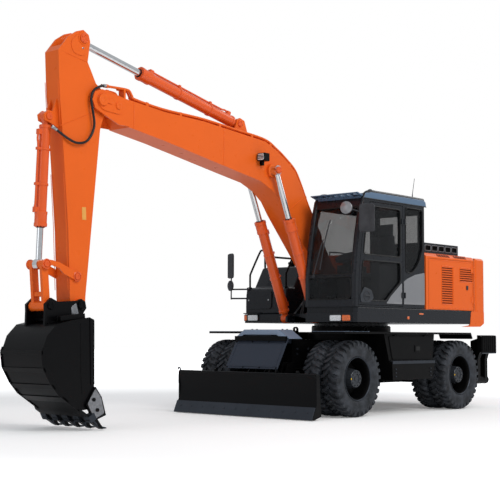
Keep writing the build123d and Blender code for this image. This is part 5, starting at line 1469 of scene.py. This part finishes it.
def coverTrim():
    # on the sloping guard: a pressed frame, corner bolts; below the hump a black lip
    top, low = np.array([2.076, 1.028]), np.array([2.296, 0.648])
    way = (low - top) / np.linalg.norm(low - top)
    out = np.array([-way[1], way[0]])

    def at(share, y, lift=0.0):
        x, z = top + (low - top) * share + out * lift
        return (x, y, z)

    ring = rounded([(0.09, -0.43), (0.09, 0.43), (0.93, 0.43), (0.93, -0.43)], 0.06, 6)
    frameBead = tube([at(a, b, 0.0015) for a, b in np.concatenate([ring, ring[:2]])], 0.005, 8, ends=False)
    places = [at(share, y) for share in (0.05, 0.96) for y in (-0.45, -0.15, 0.15, 0.45)]
    bolts = boltHeads(places, (out[0], 0, out[1]), 0.012, 0.008)
    lip = boxShape(2.07, 2.11, -0.47, 0.47, 1.028, 1.092)
    topPlaces = [(x, y, 1.182) for x in (1.95, 1.85) for y in (-0.28, 0.28)]
    return frameBead, merged(bolts, lip, boltHeads(topPlaces, (0, 0, 1), 0.014, 0.01))


# the hump's pale top is a painted sky highlight
addPiece("humpHighlightSheet", humpHighlightSheet(), "chassis", "skyHighlightGrey", smooth=50)
bead, boltsAndLip = coverTrim()
addPiece("coverBead", bead, "chassis", "coverGrey")
addPiece("coverBolts", boltsAndLip, "chassis", "black", bevel=0.0015)


bladeSizes = {"half": 1.265, "edgeTop": (2.446, 0.168), "edgeLow": (2.522, 0.006)}


def cuttingEdge(s):
    # bolted-on strip along the blade's foot, with countersunk plough bolts
    a, b = np.array(s["edgeTop"]), np.array(s["edgeLow"])
    way = (b - a) / np.linalg.norm(b - a)
    out = np.array([-way[1], way[0]])
    outline = [a + out * 0.001, a + out * 0.017, b + out * 0.012 - way * 0.004, b - way * 0.002]
    strip = prism(outline, -s["half"] + 0.002, s["half"] - 0.002)
    middle = a + (b - a) * 0.42 + out * 0.0155
    places = [(middle[0], y, middle[1]) for y in np.linspace(-1.16, 1.16, 12)]
    return strip, boltHeads(places, (out[0], 0, out[1]), 0.016, 0.004, 12)


def bladeTrim(s):
    # rolled top edge, ribs behind, lug tabs, and a grab handle with a hook at the right end
    half = s["half"]
    top = tube([(2.417, -half + 0.01, 0.583), (2.417, half - 0.01, 0.583)], 0.022, 14)
    rib = [(2.4, 0.565), (2.345, 0.5), (2.33, 0.11), (2.43, 0.05)]
    ribs = [prism(rib, y - 0.01, y + 0.01) for y in (-1.0, -0.76, -0.52, 0.52, 0.76, 1.0)]
    tab = rounded([(2.36, 0.56), (2.43, 0.56), (2.425, 0.64), (2.375, 0.64)], 0.02)
    tabs = [prism(tab, y - 0.012, y + 0.012) for y in (-0.56, 0.56, 0.92)]
    # in two halves, so that the lifted blade clears the sloping cover
    backEdge = bothSides(boxShape(2.33, 2.4, 0.5, 1.1, 0.515, 0.545))
    handleLine = ((0.004, 0.56), (-0.022, 0.545), (-0.026, 0.48), (-0.022, 0.415), (0.004, 0.4))
    handle = pipe([(2.4, y - half, z) for y, z in handleLine], 0.008, 6, 8)
    hookLine = ((0.03, 0.58), (0.03, 0.625), (0.002, 0.64), (-0.012, 0.615))
    hook = pipe([(2.43, y - half, z) for y, z in hookLine], 0.009, 5, 8)
    return merged(top, *ribs, *tabs, backEdge), merged(handle, hook)


strip, ploughBolts = cuttingEdge(bladeSizes)
addPiece("cuttingEdge", strip, "blade", "iron", bevel=0.003)
addPiece("ploughBolts", ploughBolts, "blade", "iron")
bladeParts, endHandle = bladeTrim(bladeSizes)
addPiece("bladeTrim", bladeParts, "blade", "bucketBlack", bevel=0.004)
addPiece("bladeHandle", endHandle, "blade", "iron", smooth=50)


def padFace(y):
    # outrigger pad: a ribbed sole plate with turned edges
    sole = roundedPlate(-2.15, -1.71, 0.838, 1.118, 0.03, y - 0.002, y + 0.012)
    ribs = [roundedPlate(x - 0.01, x + 0.01, 0.85, 1.105, 0.004, y + 0.01, y + 0.022)
            for x in np.linspace(-2.11, -1.75, 7)]
    edge = tube([(-2.148, y + 0.004, 0.842), (-1.712, y + 0.004, 0.842)], 0.012, 12)
    return merged(sole, *ribs), edge


sole, soleEdge = padFace(1.25)
for side, name in ((1, "left"), (-1, "right")):
    body = "outrigger_" + name
    addPiece("soleRibs" + name.title(), onSide(sole, side), body, "black", bevel=0.002)
    addPiece("soleEdge" + name.title(), onSide(soleEdge, side), body, "iron")
    pinEnd = [(0.0, 0.01), (0.036, 0.01), (0.04, 0.006), (0.04, -0.004)]
    pinEnds = [lathe(pinEnd, (x, side * 1.08, 0.42), (way, 0, 0), 28)
        for x, way in ((-1.7795, 1), (-2.0805, -1))]
    addPiece("outriggerPins" + name.title(), merged(*pinEnds), body, "iron")
# on each twin: a bright ring at the rim's edge, the valve and a paint spot on the hub's end
rimEdge = [(0.284, 0.246), (0.298, 0.262), (0.3005, 0.27), (0.2985, 0.277), (0.29, 0.277), (0.284, 0.27)]
spotLine = [(0.0, 0.0), (0.012, 0.0), (0.012, 0.003), (0.0, 0.004)]
for end, x in axleX.items():
    for name, side in (("left", 1), ("right", -1)):
        body, tail = f"wheel_{end}_{name}", end.title() + name.title()
        ring = lathe([(r, side * a) for r, a in rimEdge + rimEdge[:1]], (x, side * twinY, axleZ), sides=72)
        addPiece("rimEdge" + tail, ring, body, "iron")
        stem = ((0.235, 0.06), (0.238, 0.15), (0.243, 0.18))
        valve = tube([(x + run, side * (twinY + out), axleZ) for run, out in stem], 0.006, 8)
        addPiece("valve" + tail, valve, body, "worn")
        spotY = side * (twinY + rimSizes["hubEnd"] - 0.003)
        spot = lathe(spotLine, (x + 0.112, spotY, axleZ), (0, side, 0), 20)
        addPiece("hubSpot" + tail, spot, body, "yellow")
print("chassis made")


def addStage():
    # a pale floor, a white world behind it and three area lamps
    studio = {"floor": 0.92, "floorGlow": 0.16, "sky": 0.55, "reach": 60, "near": 6.0, "far": 14.0}
    r = studio["reach"]
    mesh = bpy.data.meshes.new("studioFloor")
    mesh.from_pydata([(-r, -r, 0), (r, -r, 0), (r, r, 0), (-r, r, 0)], [], [(0, 1, 2, 3)])
    floor = bpy.data.objects.new("studioFloor", mesh)
    bpy.context.collection.objects.link(floor)
    material, nodes, links, shader, place = newMaterial("studioWhite")
    shader.inputs["Base Color"].default_value = (studio["floor"],) * 3 + (1,)
    shader.inputs["Roughness"].default_value = 0.9
    shader.inputs["Specular IOR Level"].default_value = 0.1
    shader.inputs["Emission Color"].default_value = (1, 1, 1, 1)
    # the floor's own light grows with the distance from the machine, so that its shadow stays dark
    away = nodes.new("ShaderNodeVectorMath")
    away.operation = "LENGTH"
    links.new(place, away.inputs[0])
    grow = nodes.new("ShaderNodeMapRange")
    grow.inputs["From Min"].default_value, grow.inputs["From Max"].default_value = studio["near"], studio["far"]
    grow.inputs["To Min"].default_value, grow.inputs["To Max"].default_value = studio["floorGlow"], 1.0
    links.new(away.outputs["Value"], grow.inputs["Value"])
    glow = nodes.new("ShaderNodeMath")
    glow.operation = "MULTIPLY"
    links.new(grow.outputs[0], glow.inputs[0])
    links.new(seenDirectly(nodes, links), glow.inputs[1])
    links.new(glow.outputs[0], shader.inputs["Emission Strength"])
    mesh.materials.append(material)
    world = bpy.data.worlds.new("studio")
    world.use_nodes = True
    nodes, links = world.node_tree.nodes, world.node_tree.links
    nodes.clear()
    output = nodes.new("ShaderNodeOutputWorld")
    plain, white = nodes.new("ShaderNodeBackground"), nodes.new("ShaderNodeBackground")
    mix = nodes.new("ShaderNodeMixShader")
    plain.inputs[0].default_value = (0.93, 0.96, 1.0, 1)
    plain.inputs[1].default_value = studio["sky"]
    white.inputs[0].default_value = (1, 1, 1, 1)
    white.inputs[1].default_value = 1.0
    links.new(seenDirectly(nodes, links), mix.inputs[0])
    links.new(plain.outputs[0], mix.inputs[1])
    links.new(white.outputs[0], mix.inputs[2])
    links.new(mix.outputs[0], output.inputs[0])
    bpy.context.scene.world = world
    # name, place, side length, power, colour
    for name, at, size, power, colour in (
        ("keyLight", (3.0, 13.0, 11.0), 7.0, 1150.0, (1.0, 0.98, 0.95)),
        ("frontFill", (14.0, -2.0, 4.0), 7.0, 170.0, (0.93, 0.96, 1.0)),
        ("rearRim", (-10.0, 3.0, 8.0), 6.0, 240.0, (1.0, 1.0, 1.0)),
    ):
        light = bpy.data.lights.new(name, "AREA")
        light.size = size
        light.energy = power
        light.color = colour
        lamp = bpy.data.objects.new(name, light)
        lamp.location = at
        lamp.rotation_euler = (Vector((0, 0, 1.2)) - Vector(at)).to_track_quat("-Z", "Y").to_euler()
        bpy.context.collection.objects.link(lamp)


def seenDirectly(nodes, links):
    # 1 for rays from the camera or through glass, else 0
    path = nodes.new("ShaderNodeLightPath")
    larger = nodes.new("ShaderNodeMath")
    larger.operation = "MAXIMUM"
    links.new(path.outputs["Is Camera Ray"], larger.inputs[0])
    links.new(path.outputs["Is Transmission Ray"], larger.inputs[1])
    return larger.outputs[0]


def addCamera():
    # the photograph's camera, fitted to it, with its angles in degrees
    shot = {"at": (14.345, 10.743, 1.096), "yaw": 221.776, "pitch": 4.198, "roll": 0.258,
        "focalPixels": 1168.13, "frame": 500, "sensor": 36.0}
    data = bpy.data.cameras.new("photoCamera")
    data.sensor_width = shot["sensor"]
    data.lens = shot["focalPixels"] * shot["sensor"] / shot["frame"]
    data.clip_start, data.clip_end = 0.1, 300
    camera = bpy.data.objects.new("photoCamera", data)
    yaw, pitch, roll = (math.radians(shot[k]) for k in ("yaw", "pitch", "roll"))
    ahead = Vector((math.cos(yaw) * math.cos(pitch), math.sin(yaw) * math.cos(pitch), math.sin(pitch)))
    right = ahead.cross(Vector((0, 0, 1))).normalized()
    up = right.cross(ahead)
    right, up = math.cos(roll) * right + math.sin(roll) * up, math.cos(roll) * up - math.sin(roll) * right
    turn = Matrix((right, up, -ahead)).transposed().to_4x4()
    camera.matrix_world = Matrix.Translation(Vector(shot["at"]) + Vector((slewX, 0, 0))) @ turn
    bpy.context.collection.objects.link(camera)
    bpy.context.scene.camera = camera


addStage()
addCamera()
bpy.context.scene.view_settings.view_transform = "Standard"
print("stage set")
